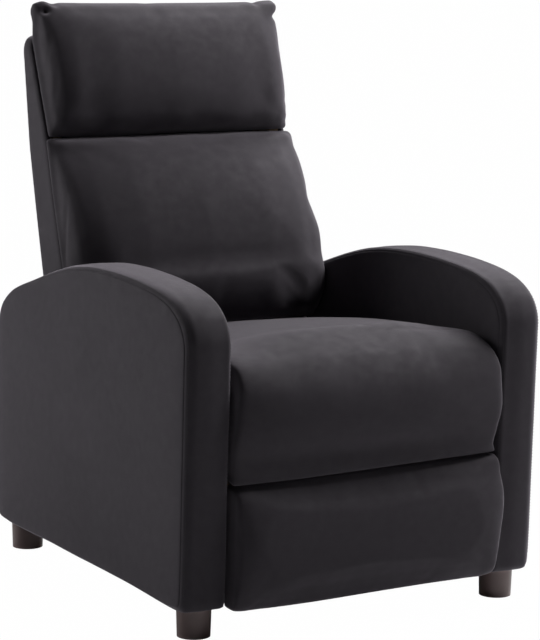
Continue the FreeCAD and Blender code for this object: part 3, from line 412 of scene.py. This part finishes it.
def photo_camera():
    back = Vector((
        math.sin(AZIMUTH) * math.cos(ELEVATION), -math.cos(AZIMUTH) * math.cos(ELEVATION),
        math.sin(ELEVATION),
    ))
    side = (-back).cross(Vector((0, 0, 1))).normalized()
    rise = side.cross(-back)
    right = side * math.cos(ROLL) + rise * math.sin(ROLL)
    up = -side * math.sin(ROLL) + rise * math.cos(ROLL)
    lens = bpy.data.cameras.new("camera")
    lens.sensor_width = SENSOR
    lens.lens = LENS
    lens.shift_x, lens.shift_y = SHIFT
    lens.clip_start, lens.clip_end = CLIP
    camera = bpy.data.objects.new("camera", lens)
    scene.collection.objects.link(camera)
    turn = Matrix((right, up, back)).transposed().to_4x4()
    camera.matrix_world = Matrix.Translation(AIM + back * DISTANCE) @ turn
    scene.camera = camera
    scene.view_settings.view_transform = "Standard"


FLOOR_GLOW = 0.995  # how far the floor is burnt out to white, as in a catalogue picture
FLOOR_REACH = 30.0


def studio_floor():
    shader = Shader("studio_floor")
    colour = shader.mix(shader.noise(3.0, 3.0), (0.84, 0.84, 0.845), (0.87, 0.87, 0.875))
    material = shader.finish(colour, shader.patchy(40.0, 2.0, 0.55, 0.65))
    glow = shader.add("ShaderNodeEmission")
    glow.inputs["Color"].default_value = (1, 1, 1, 1)
    glow.inputs["Strength"].default_value = 1.0
    seen = shader.add("ShaderNodeLightPath")
    both = shader.add("ShaderNodeMixShader")
    shader.put(both.inputs[0], shader.math("MULTIPLY", seen.outputs["Is Camera Ray"], FLOOR_GLOW))
    shader.put(both.inputs[1], shader.surface.outputs[0])
    shader.put(both.inputs[2], glow.outputs[0])
    shader.put(shader.tree.nodes["Material Output"].inputs["Surface"], both.outputs[0])
    corners = [
        (x * FLOOR_REACH, y * FLOOR_REACH, 0) for x, y in ((-1, -1), (1, -1), (1, 1), (-1, 1))
    ]
    floor = mesh_object("floor", corners, [(0, 1, 2, 3)], material, smooth=False)


WORLD_LIGHT = 0.015  # how much of the white surroundings lights the chair


def studio_world():
    world = bpy.data.worlds.new("studio")
    scene.world = world
    world.use_nodes = True
    tree = world.node_tree
    white, dim = tree.nodes["Background"], tree.nodes.new("ShaderNodeBackground")
    for background, strength in ((white, 1.0), (dim, WORLD_LIGHT)):
        background.inputs["Color"].default_value = (1, 1, 1, 1)
        background.inputs["Strength"].default_value = strength
    seen = tree.nodes.new("ShaderNodeLightPath")
    mix = tree.nodes.new("ShaderNodeMixShader")
    tree.links.new(seen.outputs["Is Camera Ray"], mix.inputs[0])
    tree.links.new(dim.outputs[0], mix.inputs[1])
    tree.links.new(white.outputs[0], mix.inputs[2])
    tree.links.new(mix.outputs[0], tree.nodes["World Output"].inputs["Surface"])


SOFT_BOXES = (  # name, place, what it points at, size, watts
    ("far_box", (1.7, -0.6, 2.7), (0, -0.2, 0.5), (1.2, 1.2), 60),
    ("rear_right_box", (1.6, 1.4, 2.6), (0, -0.2, 0.5), (1.4, 1.4), 42),
    ("left_rear_box", (-2.8, 2.4, 1.6), (0, 0, 0.5), (2.2, 2.2), 46),
    ("right_box", (3.4, -0.2, 1.0), (0, 0, 0.6), (1.6, 1.4), 16),
)


def softbox(name, place, target, size, power):
    light = bpy.data.lights.new(name, "AREA")
    light.shape = "RECTANGLE"
    light.size, light.size_y = size
    light.energy = power
    obj = bpy.data.objects.new(name, light)
    scene.collection.objects.link(obj)
    obj.location = place
    obj.rotation_mode = "QUATERNION"
    obj.rotation_quaternion = (Vector(target) - Vector(place)).to_track_quat("-Z", "Y")


photo_camera()
studio_floor()
studio_world()
for box in SOFT_BOXES:
    softbox(*box)


# Arms

ARM_OUTLINE = (  # side view from the rear over the top to the front, as shares
    (0.996, 0.735), (0.978, 0.788), (0.930, 0.834), (0.816, 0.888), (0.701, 0.938),
    (0.593, 0.975), (0.493, 0.994), (0.391, 1.0), (0.298, 0.998), (0.212, 0.991),
    (0.124, 0.976), (0.061, 0.950), (0.017, 0.907), (-0.003, 0.853), (-0.004, 0.789),
    (0.004, 0.400), (0.012, 0.0),
)
ARM_REAR, ARM_DEPTH, ARM_LOW, ARM_HIGH = 0.349, 0.7435, 0.0505, 0.5165
ARM_SIZE = np.array((ARM_DEPTH, ARM_HIGH))
ARM_POINTS = 300  # round the side view
ARM_IN, ARM_OUT = 0.260, 0.344
ARM_WIDTH = ARM_OUT - ARM_IN
ARM_CROWN = np.array((0.022, 0.016))  # how far the band stands out in front and on top
ARM_ROLL = (0.010, 0.019)  # width of the soft edge between side and band, inside and outside
ARM_BELLY = 0.07  # how much further the band's middle stands out, as a share of the crown
BELLY_FROM = 0.012  # in from the side
SEAM_IN = 0.002  # the seam lies this far in from the side, on the soft edge
SEAM_DEEP = 0.09  # of the crown
SEAM_HALF = 0.0006  # half the seam's width
STITCH_IN = 0.0055  # in from the side
STITCH_FROM = 0.02  # over the arm's low edge
ARM_TUCK = 0.008  # how far the outer side's low edge turns up under the arm
TUCK_IN, TUCK_HIGH = 0.012, 0.03  # how far in from the side and how high that goes
PANEL_PROUD = 0.0026  # how far the side panels stand out
PANEL_SPRING = 14  # how soon they do, in from the seam
PANEL_MIDDLE = np.array((0.40, 0.24))
ARM_WAVES = 0.8 * MM  # how uneven the padding is
ARM_EDGE = (  # the band's rings, by their distance in from the side
    0, 0.0004, 0.0010, 0.0014, 0.0017, SEAM_IN, 0.0023, 0.0026, 0.0030, 0.0038, 0.0052, 0.0072,
    0.0098, 0.013, 0.0165, 0.0205, 0.025, 0.030, 0.036,
)
ARM_INSETS = (  # the side panels' rings, by how far they are pulled in to the middle
    1.0, 0.86, 0.7, 0.52, 0.34, 0.2, 0.1, 0.05, 0.028, 0.014, 0.007, 0.003,
)


def arm_outline():
    """The arm's side view, closed, evenly spaced, with small rounds at its low corners."""
    rear = [(1.0, 0.05), (1.0, 0.30), (1.0, 0.60)]  # shares, as in the outline
    corner = np.array(ARM_OUTLINE[-1]) * ARM_SIZE
    front_round = [corner + (-0.001, 0.03), corner + (0.002, 0.006), corner + (0.010, 0.0)]
    bottom = [(0.25, 0.0), (0.5, 0.0)]
    rear_round = [(ARM_DEPTH - 0.012, 0.0), (ARM_DEPTH - 0.003, 0.004)]
    upper = np.array(rear + list(ARM_OUTLINE[:-1])) * ARM_SIZE
    return smooth_loop(np.vstack([upper, front_round, bottom, rear_round]), ARM_POINTS)


ARM_FLAT = arm_outline()


def arm_section(d, roll):
    """How far the band stands out at a distance in from the side, as a share of the crown."""
    rise = math.sqrt(max(0.0, 1 - max(0.0, 1 - d / roll) ** 2))
    belly = ARM_BELLY * smooth_step(d, BELLY_FROM, ARM_WIDTH / 2)
    return rise + belly - SEAM_DEEP * math.exp(-((d - SEAM_IN) / SEAM_HALF) ** 2)


def arm_ring(sign, across, crown, inset=0.0, bulge=0.0):
    """The arm's outline at a share across its width, pulled in to its middle by inset."""
    anchor = np.array((ARM_DEPTH, 0.0))
    flat = anchor + (ARM_FLAT - anchor) * (ARM_SIZE + ARM_CROWN * crown) / ARM_SIZE
    flat += (PANEL_MIDDLE - flat) * inset
    near_side = 1 - smooth_step(ARM_WIDTH * (1 - across), 0, TUCK_IN)
    flat[:, 1] += ARM_TUCK * near_side * (1 - smooth_step(flat[:, 1], 0, TUCK_HIGH))
    x = np.full(ARM_POINTS, sign * (ARM_IN + across * ARM_WIDTH + bulge))
    return np.column_stack([x, ARM_REAR - ARM_DEPTH + flat[:, 0], ARM_LOW + flat[:, 1]])


def panel_bulge(inset):
    """How far the side panel stands out, in from its seam."""
    return PANEL_PROUD * (1 - math.exp(-inset * PANEL_SPRING))


def arm(name, node, sign):
    """A board arm in its padded cover: flat side panels sewn to a crowned band."""
    rings = [arm_ring(sign, 0.0, 0.0, f, -panel_bulge(f)) for f in ARM_INSETS]
    for d in (*ARM_EDGE, ARM_WIDTH / 2):
        rings.append(arm_ring(sign, d / ARM_WIDTH, arm_section(d, ARM_ROLL[0])))
    for d in reversed(ARM_EDGE):
        rings.append(arm_ring(sign, 1 - d / ARM_WIDTH, arm_section(d, ARM_ROLL[1])))
    rings += [arm_ring(sign, 1.0, 0.0, f, panel_bulge(f)) for f in reversed(ARM_INSETS)]
    faces = []
    for number in range(len(rings) - 1):
        a, b = number * ARM_POINTS, (number + 1) * ARM_POINTS
        for i in range(ARM_POINTS):
            j = (i + 1) % ARM_POINTS
            quad = (a + i, a + j, b + j, b + i)
            faces.append(quad if sign > 0 else quad[::-1])
    obj = mesh_object(name, np.vstack(rings), faces, upholstery)
    co, no = coords(obj.data), normals(obj.data)
    soft = field(co, 0.16, 1.0 + sign) * 0.9 + field(co, 0.05, 3.0 + sign) * 0.2
    set_coords(obj.data, co + no * (soft * ARM_WAVES)[:, None])
    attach(obj, "base")
    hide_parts(node)
    return obj


right_arm = arm("right_arm_cover", "right_arm_padding", -1)
left_arm = arm("left_arm_cover", "left_arm_padding", 1)

STITCH_PITCH, STITCH_LONG, STITCH_THICK = 5.5 * MM, 4.2 * MM, 0.45 * MM
STITCH_RINGS = (  # place along the stitch, girth and height over the cover
    (-0.5, 0.35, -0.6), (-0.34, 1.0, 0.1), (0.34, 1.0, 0.1), (0.5, 0.35, -0.6),
)
STITCH_SIDES = 6


def stitches(name, body, cover, paths):
    """Rows of sewing thread along paths on a cover, each stitch a short bent length."""
    tree = surface(cover.data)
    turns = [2 * math.pi * n / STITCH_SIDES for n in range(STITCH_SIDES)]
    verts, faces = [], []
    for path in paths:
        run = path_length(path)

        def at(distance):
            return Vector([float(np.interp(distance, run, path[:, k])) for k in range(3)])

        for k in range(int(run[-1] // STITCH_PITCH)):
            middle = (k + 0.5) * STITCH_PITCH
            place, normal, _, _ = tree.find_nearest(at(middle))
            ahead = at(middle + MM) - at(middle - MM)
            along = (ahead - normal * ahead.dot(normal)).normalized()
            across = normal.cross(along)
            start = len(verts)
            for share, girth, height in STITCH_RINGS:
                core = place + along * (share * STITCH_LONG) + normal * (height * STITCH_THICK)
                for turn in turns:
                    out = across * math.cos(turn) + normal * math.sin(turn)
                    verts.append(core + out * (girth * STITCH_THICK))
            for r in range(len(STITCH_RINGS) - 1):
                a, b = start + r * STITCH_SIDES, start + (r + 1) * STITCH_SIDES
                for n in range(STITCH_SIDES):
                    m = (n + 1) % STITCH_SIDES
                    faces.append((a + n, b + n, b + m, a + m))
            faces.append(tuple(start + n for n in range(STITCH_SIDES)))
            last = start + (len(STITCH_RINGS) - 1) * STITCH_SIDES
            faces.append(tuple(last + n for n in reversed(range(STITCH_SIDES))))
    obj = mesh_object(name, verts, faces, sewing)
    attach(obj, body)


def arm_seams(sign):
    """Lines beside both of an arm's seams, up the rear, over the top and down the front."""
    share = STITCH_IN / ARM_WIDTH
    lines = [
        arm_ring(sign, across, arm_section(STITCH_IN, roll))
        for across, roll in zip((share, 1 - share), ARM_ROLL)
    ]
    return [line[line[:, 2] > ARM_LOW + STITCH_FROM] for line in lines]


stitches("right_arm_stitching", "base", right_arm, arm_seams(-1))
stitches("left_arm_stitching", "base", left_arm, arm_seams(1))


# Cushions and covers

WELD = 0.05 * MM


def from_solid(name, node, voxel, shrink, relax, fastened):
    """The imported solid's form as an even, closed skin with its flat facets smoothed. It stays
    as it is where fastened(points) is 1, which is where the cover is fixed to the frame."""
    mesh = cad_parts[node].data.copy()
    obj = bpy.data.objects.new(name, mesh)
    mesh.name = name
    scene.collection.objects.link(obj)
    mesh.materials.clear()
    mesh.materials.append(upholstery)
    weld = obj.modifiers.new("weld", "WELD")
    weld.merge_threshold = WELD
    remesh = obj.modifiers.new("remesh", "REMESH")
    remesh.mode = "VOXEL"
    remesh.voxel_size = voxel
    applied(obj)
    held_by = fastened(coords(obj.data))
    group = obj.vertex_groups.new(name="fastened")
    for i, weight in enumerate(held_by):
        if weight > 0:
            group.add([i], float(weight), "REPLACE")
    eased(obj, relax)
    co = coords(obj.data)
    set_coords(obj.data, co - normals(obj.data) * (shrink * (1 - held_by))[:, None])
    shade_smooth(obj.data)
    return obj


def weights(obj):
    """How far each point is fastened, from 0 to 1."""
    found = np.zeros(len(obj.data.vertices))
    for i, vertex in enumerate(obj.data.vertices):
        for entry in vertex.groups:
            found[i] = entry.weight
    return found


def eased(obj, times):
    """Evens the skin out, except where it is fastened."""
    before = coords(obj.data)
    relaxed = obj.modifiers.new("relax", "SMOOTH")
    relaxed.factor = 0.5
    relaxed.iterations = times
    mesh = evaluated(obj)
    after = coords(mesh)
    obj.modifiers.clear()
    bpy.data.meshes.remove(mesh)
    keep = weights(obj)[:, None]
    set_coords(obj.data, before * keep + after * (1 - keep))


def spread_out(mesh, values, times):
    """Evens values out over a mesh by averaging each point with its neighbours."""
    ends = np.zeros(len(mesh.edges) * 2, int)
    mesh.edges.foreach_get("vertices", ends)
    a, b = ends.reshape(-1, 2).T
    size = len(values)
    count = np.maximum(np.bincount(a, minlength=size) + np.bincount(b, minlength=size), 1)
    values = values.copy()
    for _ in range(times):
        for k in range(3):
            column = values[:, k]
            near = np.bincount(a, column[b], size) + np.bincount(b, column[a], size)
            values[:, k] = (column + near / count) / 2
    return values


CLOTH_FRAMES = 20
CLOTH_QUALITY = 4
CLOTH_MASS, STRETCHING, SHEARING, BENDING = 0.3, 15, 5, 2.0
PRESSURE = 4.0


def inflate(obj, slack, cap, creases, calm):
    """Blows the skin up as sewn cloth, cut larger by slack, and moves no point further than the
    cap. Of the folds that calm passes of averaging take out, the share creases stays."""
    before = coords(obj.data)
    cloth = obj.modifiers.new("cloth", "CLOTH")
    settings = cloth.settings
    settings.quality = CLOTH_QUALITY
    settings.mass = CLOTH_MASS
    settings.tension_stiffness = STRETCHING
    settings.compression_stiffness = STRETCHING
    settings.shear_stiffness = SHEARING
    settings.bending_stiffness = BENDING
    settings.shrink_min = -slack
    settings.vertex_group_mass = "fastened"
    settings.use_pressure = True
    settings.uniform_pressure_force = PRESSURE
    settings.effector_weights.gravity = 0
    cloth.collision_settings.use_collision = False
    scene.frame_start, scene.frame_end = 1, CLOTH_FRAMES
    for number in range(1, CLOTH_FRAMES + 1):
        scene.frame_set(number)
    mesh = evaluated(obj)
    after = coords(mesh)
    obj.modifiers.clear()
    scene.frame_set(1)
    bpy.data.meshes.remove(mesh)
    move = after - before
    far = np.linalg.norm(move, axis=1)
    move *= np.minimum(1, cap / np.maximum(far, TINY))[:, None]
    broad = spread_out(obj.data, move, calm)
    loose = (1 - weights(obj))[:, None]
    set_coords(obj.data, before + move + (broad - move) * (1 - creases) * loose)


def held(obj, node, margin):
    """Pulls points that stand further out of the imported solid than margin(place, normal) back."""
    tree = surface(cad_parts[node].data)
    co = coords(obj.data)
    for i, p in enumerate(co):
        spot, face_normal, _, _ = tree.find_nearest(Vector(p))
        room = margin(p, face_normal)
        if (Vector(p) - spot).dot(face_normal) > room:
            co[i] = spot + (Vector(p) - spot).normalized() * room
    set_coords(obj.data, co)


def spread(obj, node, ways, proud=0.0):
    """Stretches the skin evenly along each way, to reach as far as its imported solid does. The
    first way reaches further by proud, where the stuffing fills the cover out."""
    co = coords(obj.data)
    solid = coords(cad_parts[node].data)
    for number, way in enumerate(ways):
        way = np.array(way) / np.linalg.norm(way)
        more = (number == 0) * proud / np.ptp(solid @ way) * 2
        own, want = co @ way, (solid @ way) * (1 + more)
        share = (own - own.min()) / (own.max() - own.min())
        co += (want.min() + share * (want.max() - want.min()) - own)[:, None] * way
    set_coords(obj.data, co)


def pressed(obj, spots):
    """Pushes or pulls the skin round each spot: its place, how wide it is and the move, in mm."""
    co = coords(obj.data)
    for place, wide, move in spots:
        away = (co - np.array(place) * MM) / (np.array(wide) * MM)
        share = np.exp(-np.einsum("ij,ij->i", away, away))
        co += share[:, None] * np.array(move) * MM
    set_coords(obj.data, co)


def finished(obj, body, node, ease=6, ways=(), spots=(), proud=0.0):
    """Turns a skin into the cover that stands for a node of the model and moves with a body."""
    eased(obj, ease)
    spread(obj, node, ways, proud)
    split = obj.modifiers.new("finer", "SUBSURF")
    split.levels = split.render_levels = 1
    applied(obj)
    pressed(obj, spots)
    obj.vertex_groups.clear()
    shade_smooth(obj.data)
    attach(obj, body)
    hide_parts(node)


ACROSS, UPWARDS = (1, 0, 0), (0, 0, 1)
UP_BACK = (0, 0.325, 1)  # along the leaning back
SIDEWAYS = 0.7  # a face turned further than this to a side counts as a side

# Where a skin is fastened: each pair holds the places between which that sets in.
SEAT_UNDER, SEAT_LIP = (0.334, 0.346), (0.276, 0.288)  # below these heights
SEAT_NOSE, SEAT_REAR = (-0.380, -0.370), (0.160, 0.170)  # behind these depths
PILLOW_REAR = (-0.024, -0.010)  # from the front of the back's frame
PAD_REAR = (-0.414, -0.406)

SEAT_SPOTS = (
    ((0, -290, 505), (190, 190, 60), (0, 0, -9)),
    ((232, -340, 480), (40, 110, 50), (5, 0, 7)),
    ((-232, -340, 480), (40, 110, 50), (-5, 0, 7)),
    ((256, -446, 415), (26, 34, 85), (18, 0, 0)),
    ((244, -400, 490), (34, 70, 34), (7, 0, 12)),
    ((-200, -330, 500), (100, 130, 60), (0, 0, -9)),
    ((30, -330, 505), (110, 150, 60), (0, 0, -3)),
    ((-400, -440, 285), (500, 60, 45), (0, 0, -20)),
    ((256, -446, 345), (26, 34, 40), (8, 0, 0)),
    ((256, -446, 296), (26, 34, 26), (9, 0, 0)),
    ((-256, -425, 300), (22, 50, 60), (-11, 0, 0)),
    ((-256, -446, 420), (26, 34, 70), (-9, 0, 0)),
    ((0, -452, 312), (330, 40, 52), (0, 14, 0)),
    ((0, -446, 296), (330, 40, 22), (0, 7, 0)),
    ((-262, -436, 452), (10, 26, 8), (9, 3, 0)),
    ((-256, -440, 436), (14, 22, 9), (-3, -2, 0)),
    ((-150, -395, 492), (70, 60, 7), (0, 0, -1.2)),
    ((60, -405, 486), (110, 60, 6), (0, 0.4, -1.0)),
    ((130, -340, 500), (80, 8, 30), (0, 0, -1.0)),
    ((0, -250, 505), (400, 260, 60), (0, 0, -4)),
    ((190, -330, 500), (60, 120, 60), (0, 0, -6)),
    ((-230, -330, 500), (60, 120, 60), (0, 0, -3)),
    ((256, -435, 465), (26, 40, 40), (9, 0, 1)),
    ((-220, -200, 500), (80, 200, 60), (0, 0, -6)),
)


def seat():
    def fastened(p):
        under = np.minimum(1 - smooth_step(p[:, 2], *SEAT_UNDER), smooth_step(p[:, 1], *SEAT_NOSE))
        lip = 1 - smooth_step(p[:, 2], *SEAT_LIP)
        rear = smooth_step(p[:, 1], *SEAT_REAR)
        return np.maximum.reduce([under, lip, rear])

    def margin(p, n):
        if n.z < -0.3 or n.y > 0.6:  # it lies on the springs and against the back
            return 0.0
        return 2 * MM if abs(n.x) > SIDEWAYS else 5 * MM

    obj = from_solid(
        "seat_cushion_cover", "seat_cushion", voxel=6 * MM, shrink=5 * MM, relax=10,
        fastened=fastened,
    )
    inflate(obj, slack=0.002, cap=26 * MM, creases=0.12, calm=110)
    held(obj, "seat_cushion", margin)
    finished(obj, "seat", "seat_cushion", ease=24, ways=[ACROSS], spots=SEAT_SPOTS)


BACK_FRONT = np.array((  # the front of the back's frame, as shares of its run and rise
    (0.0, 0.0), (0.114, 0.153), (0.268, 0.371), (0.417, 0.544), (0.539, 0.701), (0.701, 0.848),
    (0.854, 0.990),
)) * (0.254, 0.648) + (0.193, 0.302)


def back_line(z):
    """Y of the back frame's front at a height."""
    return np.interp(z, BACK_FRONT[:, 1], BACK_FRONT[:, 0])


HEAD_SPOTS = (
    ((-226, 268, 860), (34, 50, 110), (0, -11, 0)),
    ((226, 268, 860), (34, 50, 110), (0, -11, 0)),
    ((-240, 372, 1001), (9, 16, 7), (7, 6, -6)),
    ((-234, 385, 1016), (10, 30, 9), (0, 0, 3)),
    ((-256, 385, 1014), (12, 30, 10), (0, 0, -4)),
    ((254, 350, 965), (16, 60, 45), (5, 0, 0)),
    ((-214, 377, 1014), (9, 30, 9), (0, 0, -4)),
    ((-20, 370, 1016), (14, 30, 9), (0, 0, -2)),
    ((238, 372, 1006), (20, 34, 18), (15, 0, 4)),
    ((212, 385, 1013), (9, 30, 9), (0, 0, -3)),
    ((254, 377, 985), (15, 40, 7), (-7, 0, 0)),
    ((256, 330, 850), (12, 60, 60), (3, 0, 0)),
    ((254, 325, 826), (10, 30, 6), (-2.5, 0, 0)),
    ((254, 320, 806), (10, 30, 6), (-2.5, 0, 0)),
    ((-252, 345, 955), (12, 8, 40), (3, 0, 0)),
    ((-252, 318, 880), (12, 7, 50), (3.5, 0, 0)),
    ((-252, 296, 850), (12, 7, 40), (2.5, 0, 0)),
    ((-170, 320, 776), (120, 60, 14), (0, 0, -4)),
)
LUMBAR_SPOTS = (
    ((258, 190, 585), (28, 70, 36), (9, 0, 0)),
    ((262, 165, 548), (26, 60, 26), (7, 0, 0)),
    ((258, 165, 505), (26, 60, 34), (7, 0, 0)),
    ((258, 275, 720), (24, 70, 50), (4, 0, 0)),
    ((258, 245, 646), (20, 60, 18), (-4, 0, 0)),
    ((-256, 245, 600), (14, 8, 60), (2, 0, 0)),
    ((60, 160, 560), (160, 40, 12), (0, 1.2, 0)),
    ((-40, 170, 520), (150, 40, 10), (0, 1.5, 0)),
    ((120, 290, 776), (140, 60, 14), (0, 0, 4)),
)
BACK_PROUD = 4 * MM  # how much wider than their solids the covers of the back are stuffed


def pillow(name, node, spots):
    def fastened(p):
        return smooth_step(p[:, 1] - back_line(p[:, 2]), *PILLOW_REAR)

    def margin(p, n):
        if n.y > 0.3:  # it lies against the back's frame
            return 0.0
        return 3 * MM if abs(n.x) > SIDEWAYS else 6 * MM

    obj = from_solid(name, node, voxel=5 * MM, shrink=5 * MM, relax=8, fastened=fastened)
    inflate(obj, slack=0.006, cap=24 * MM, creases=0.25, calm=40)
    held(obj, node, margin)
    finished(
        obj, "backrest", node, ease=12, ways=[ACROSS, UP_BACK], spots=spots,
        proud=BACK_PROUD,
    )


PAD_SPOTS = (
    ((-130, -425, 46), (220, 70, 50), (0, 0, -8)),
    ((254, -430, 150), (30, 34, 110), (2, 0, 0)),
    ((256, -432, 195), (24, 30, 55), (9, 0, 0)),
    ((-256, -448, 150), (16, 20, 140), (4, 4, 0)),
    ((-400, -425, 269), (500, 60, 50), (0, 0, -17)),
    ((250, -432, 262), (20, 40, 18), (7, 0, 6)),
    ((0, -450, 260), (330, 26, 26), (0, 3, 0)),
    ((-120, -440, 240), (90, 20, 9), (0, 1.5, 0)),
    ((140, -440, 236), (70, 20, 8), (0, 1.2, 0)),
    ((-250, -440, 66), (16, 44, 28), (-6, 0, -2)),
)
BOARD_SIDE, BOARD_LOW, BOARD_HIGH = 0.2365, 0.0725, 0.2495  # the footrest board's edges
RIM_FRONT = -0.4065  # the cover behind this depth and past the board's edges is its rim
RIM_REAR, RIM_TO, RIM_SHARE = -0.4003, -0.3845, 0.4  # moved from and to, and how flat it gets


def footrest():
    def fastened(p):
        return smooth_step(p[:, 1], *PAD_REAR)

    def margin(p, n):
        if n.y > 0.5:  # it lies on its board
            return 0.0
        return MM if abs(n.x) > SIDEWAYS or n.z > 0.6 else 4 * MM

    obj = from_solid(
        "footrest_pad_cover", "footrest_pad", voxel=4 * MM, shrink=3 * MM, relax=6,
        fastened=fastened,
    )
    inflate(obj, slack=0.006, cap=22 * MM, creases=0.25, calm=40)
    held(obj, "footrest_pad", margin)
    eased(obj, 5)
    spread(obj, "footrest_pad", [ACROSS, UPWARDS])
    # the cover turns in round the board's edges, where it is stapled behind
    co = coords(obj.data)
    beyond = (np.abs(co[:, 0]) > BOARD_SIDE) | (co[:, 2] > BOARD_HIGH) | (co[:, 2] < BOARD_LOW)
    rim = beyond & (co[:, 1] > RIM_FRONT)
    co[rim, 1] = RIM_TO + (co[rim, 1] - RIM_REAR) * RIM_SHARE
    set_coords(obj.data, co)
    finished(obj, "footrest", "footrest_pad", ease=1, spots=PAD_SPOTS)


BELT_LOW, BELT_HIGH, BELT_SIDE, BELT_THICK = 0.318, 0.446, 0.246, 0.006
BELT_BEHIND = 0.001  # how far its rear lies behind the front of the back's frame
BELT_ROWS, BELT_COLUMNS = 12, 36


def back_belt():
    """The padded cloth across the frame of the back below the lumbar cushion, which closes the
    gap behind the seat."""
    verts, faces = [], []

    def point(row, column, front):
        u, v = column / BELT_COLUMNS * 2 - 1, row / BELT_ROWS * 2 - 1
        crown = (1 - u ** 8) * (1 - v ** 6)
        slack = 1 + 0.12 * math.sin(9 * u + 2 * v) * math.cos(3 * v)
        z = BELT_LOW + (v + 1) / 2 * (BELT_HIGH - BELT_LOW)
        y = back_line(z) - front * crown * slack * BELT_THICK + (1 - front) * BELT_BEHIND
        verts.append((u * BELT_SIDE, y, z))
        return len(verts) - 1

    front = {(r, c): point(r, c, 1) for r in range(BELT_ROWS + 1) for c in range(BELT_COLUMNS + 1)}
    rear = dict(front)  # the edge is shared
    for r in range(1, BELT_ROWS):
        for c in range(1, BELT_COLUMNS):
            rear[r, c] = point(r, c, 0)
    for r in range(BELT_ROWS):
        for c in range(BELT_COLUMNS):
            ring = ((r, c), (r, c + 1), (r + 1, c + 1), (r + 1, c))
            faces.append(tuple(front[k] for k in ring))
            faces.append(tuple(rear[k] for k in ring[::-1]))
    obj = mesh_object("back_belt", verts, faces, upholstery)
    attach(obj, "backrest")


BACK_SEAM = 0.232  # from the middle
BACK_SEAM_DEEP, BACK_SEAM_HALF = 1.8 * MM, 3 * MM
BACK_STITCH_IN = 5 * MM
BACK_STITCHES = np.linspace(0.325, 0.935, 90)  # heights on their path
BEHIND = 0.7  # further back than the chair reaches
BACK_SPOTS = (
    ((-235, 442, 946), (60, 14, 16), (-1, 3, 5)),
    ((235, 442, 946), (60, 14, 16), (1, 3, 5)),
)


def back_shell():
    obj = from_solid(
        "back_outer_cover", "back_cover", voxel=4 * MM, shrink=0.0, relax=6,
        fastened=lambda p: np.zeros(len(p)),
    )
    finished(
        obj, "backrest", "back_cover", ways=[ACROSS], spots=BACK_SPOTS, proud=BACK_PROUD
    )
    co, no = coords(obj.data), normals(obj.data)
    rearward = smooth_step(no[:, 1], 0.3, 0.8)
    for line in (-BACK_SEAM, BACK_SEAM):
        co[:, 1] -= np.exp(-((co[:, 0] - line) / BACK_SEAM_HALF) ** 2) * rearward * BACK_SEAM_DEEP
    set_coords(obj.data, co)
    return obj


def back_seams(cover):
    """Lines beside the seams on the rear of the back."""
    tree, paths = surface(cover.data), []
    for x in (-BACK_SEAM + BACK_STITCH_IN, BACK_SEAM - BACK_STITCH_IN):
        line = [
            tree.ray_cast(Vector((x, BEHIND, z)), Vector((0, -1, 0)))[0] for z in BACK_STITCHES
        ]
        paths.append(np.array([place for place in line if place is not None]))
    return paths


seat()
pillow("lumbar_cushion_cover", "lumbar_cushion", LUMBAR_SPOTS)
pillow("head_cushion_cover", "head_cushion", HEAD_SPOTS)
footrest()
back_belt()
back_cover = back_shell()
stitches("back_stitching", "backrest", back_cover, back_seams(back_cover))
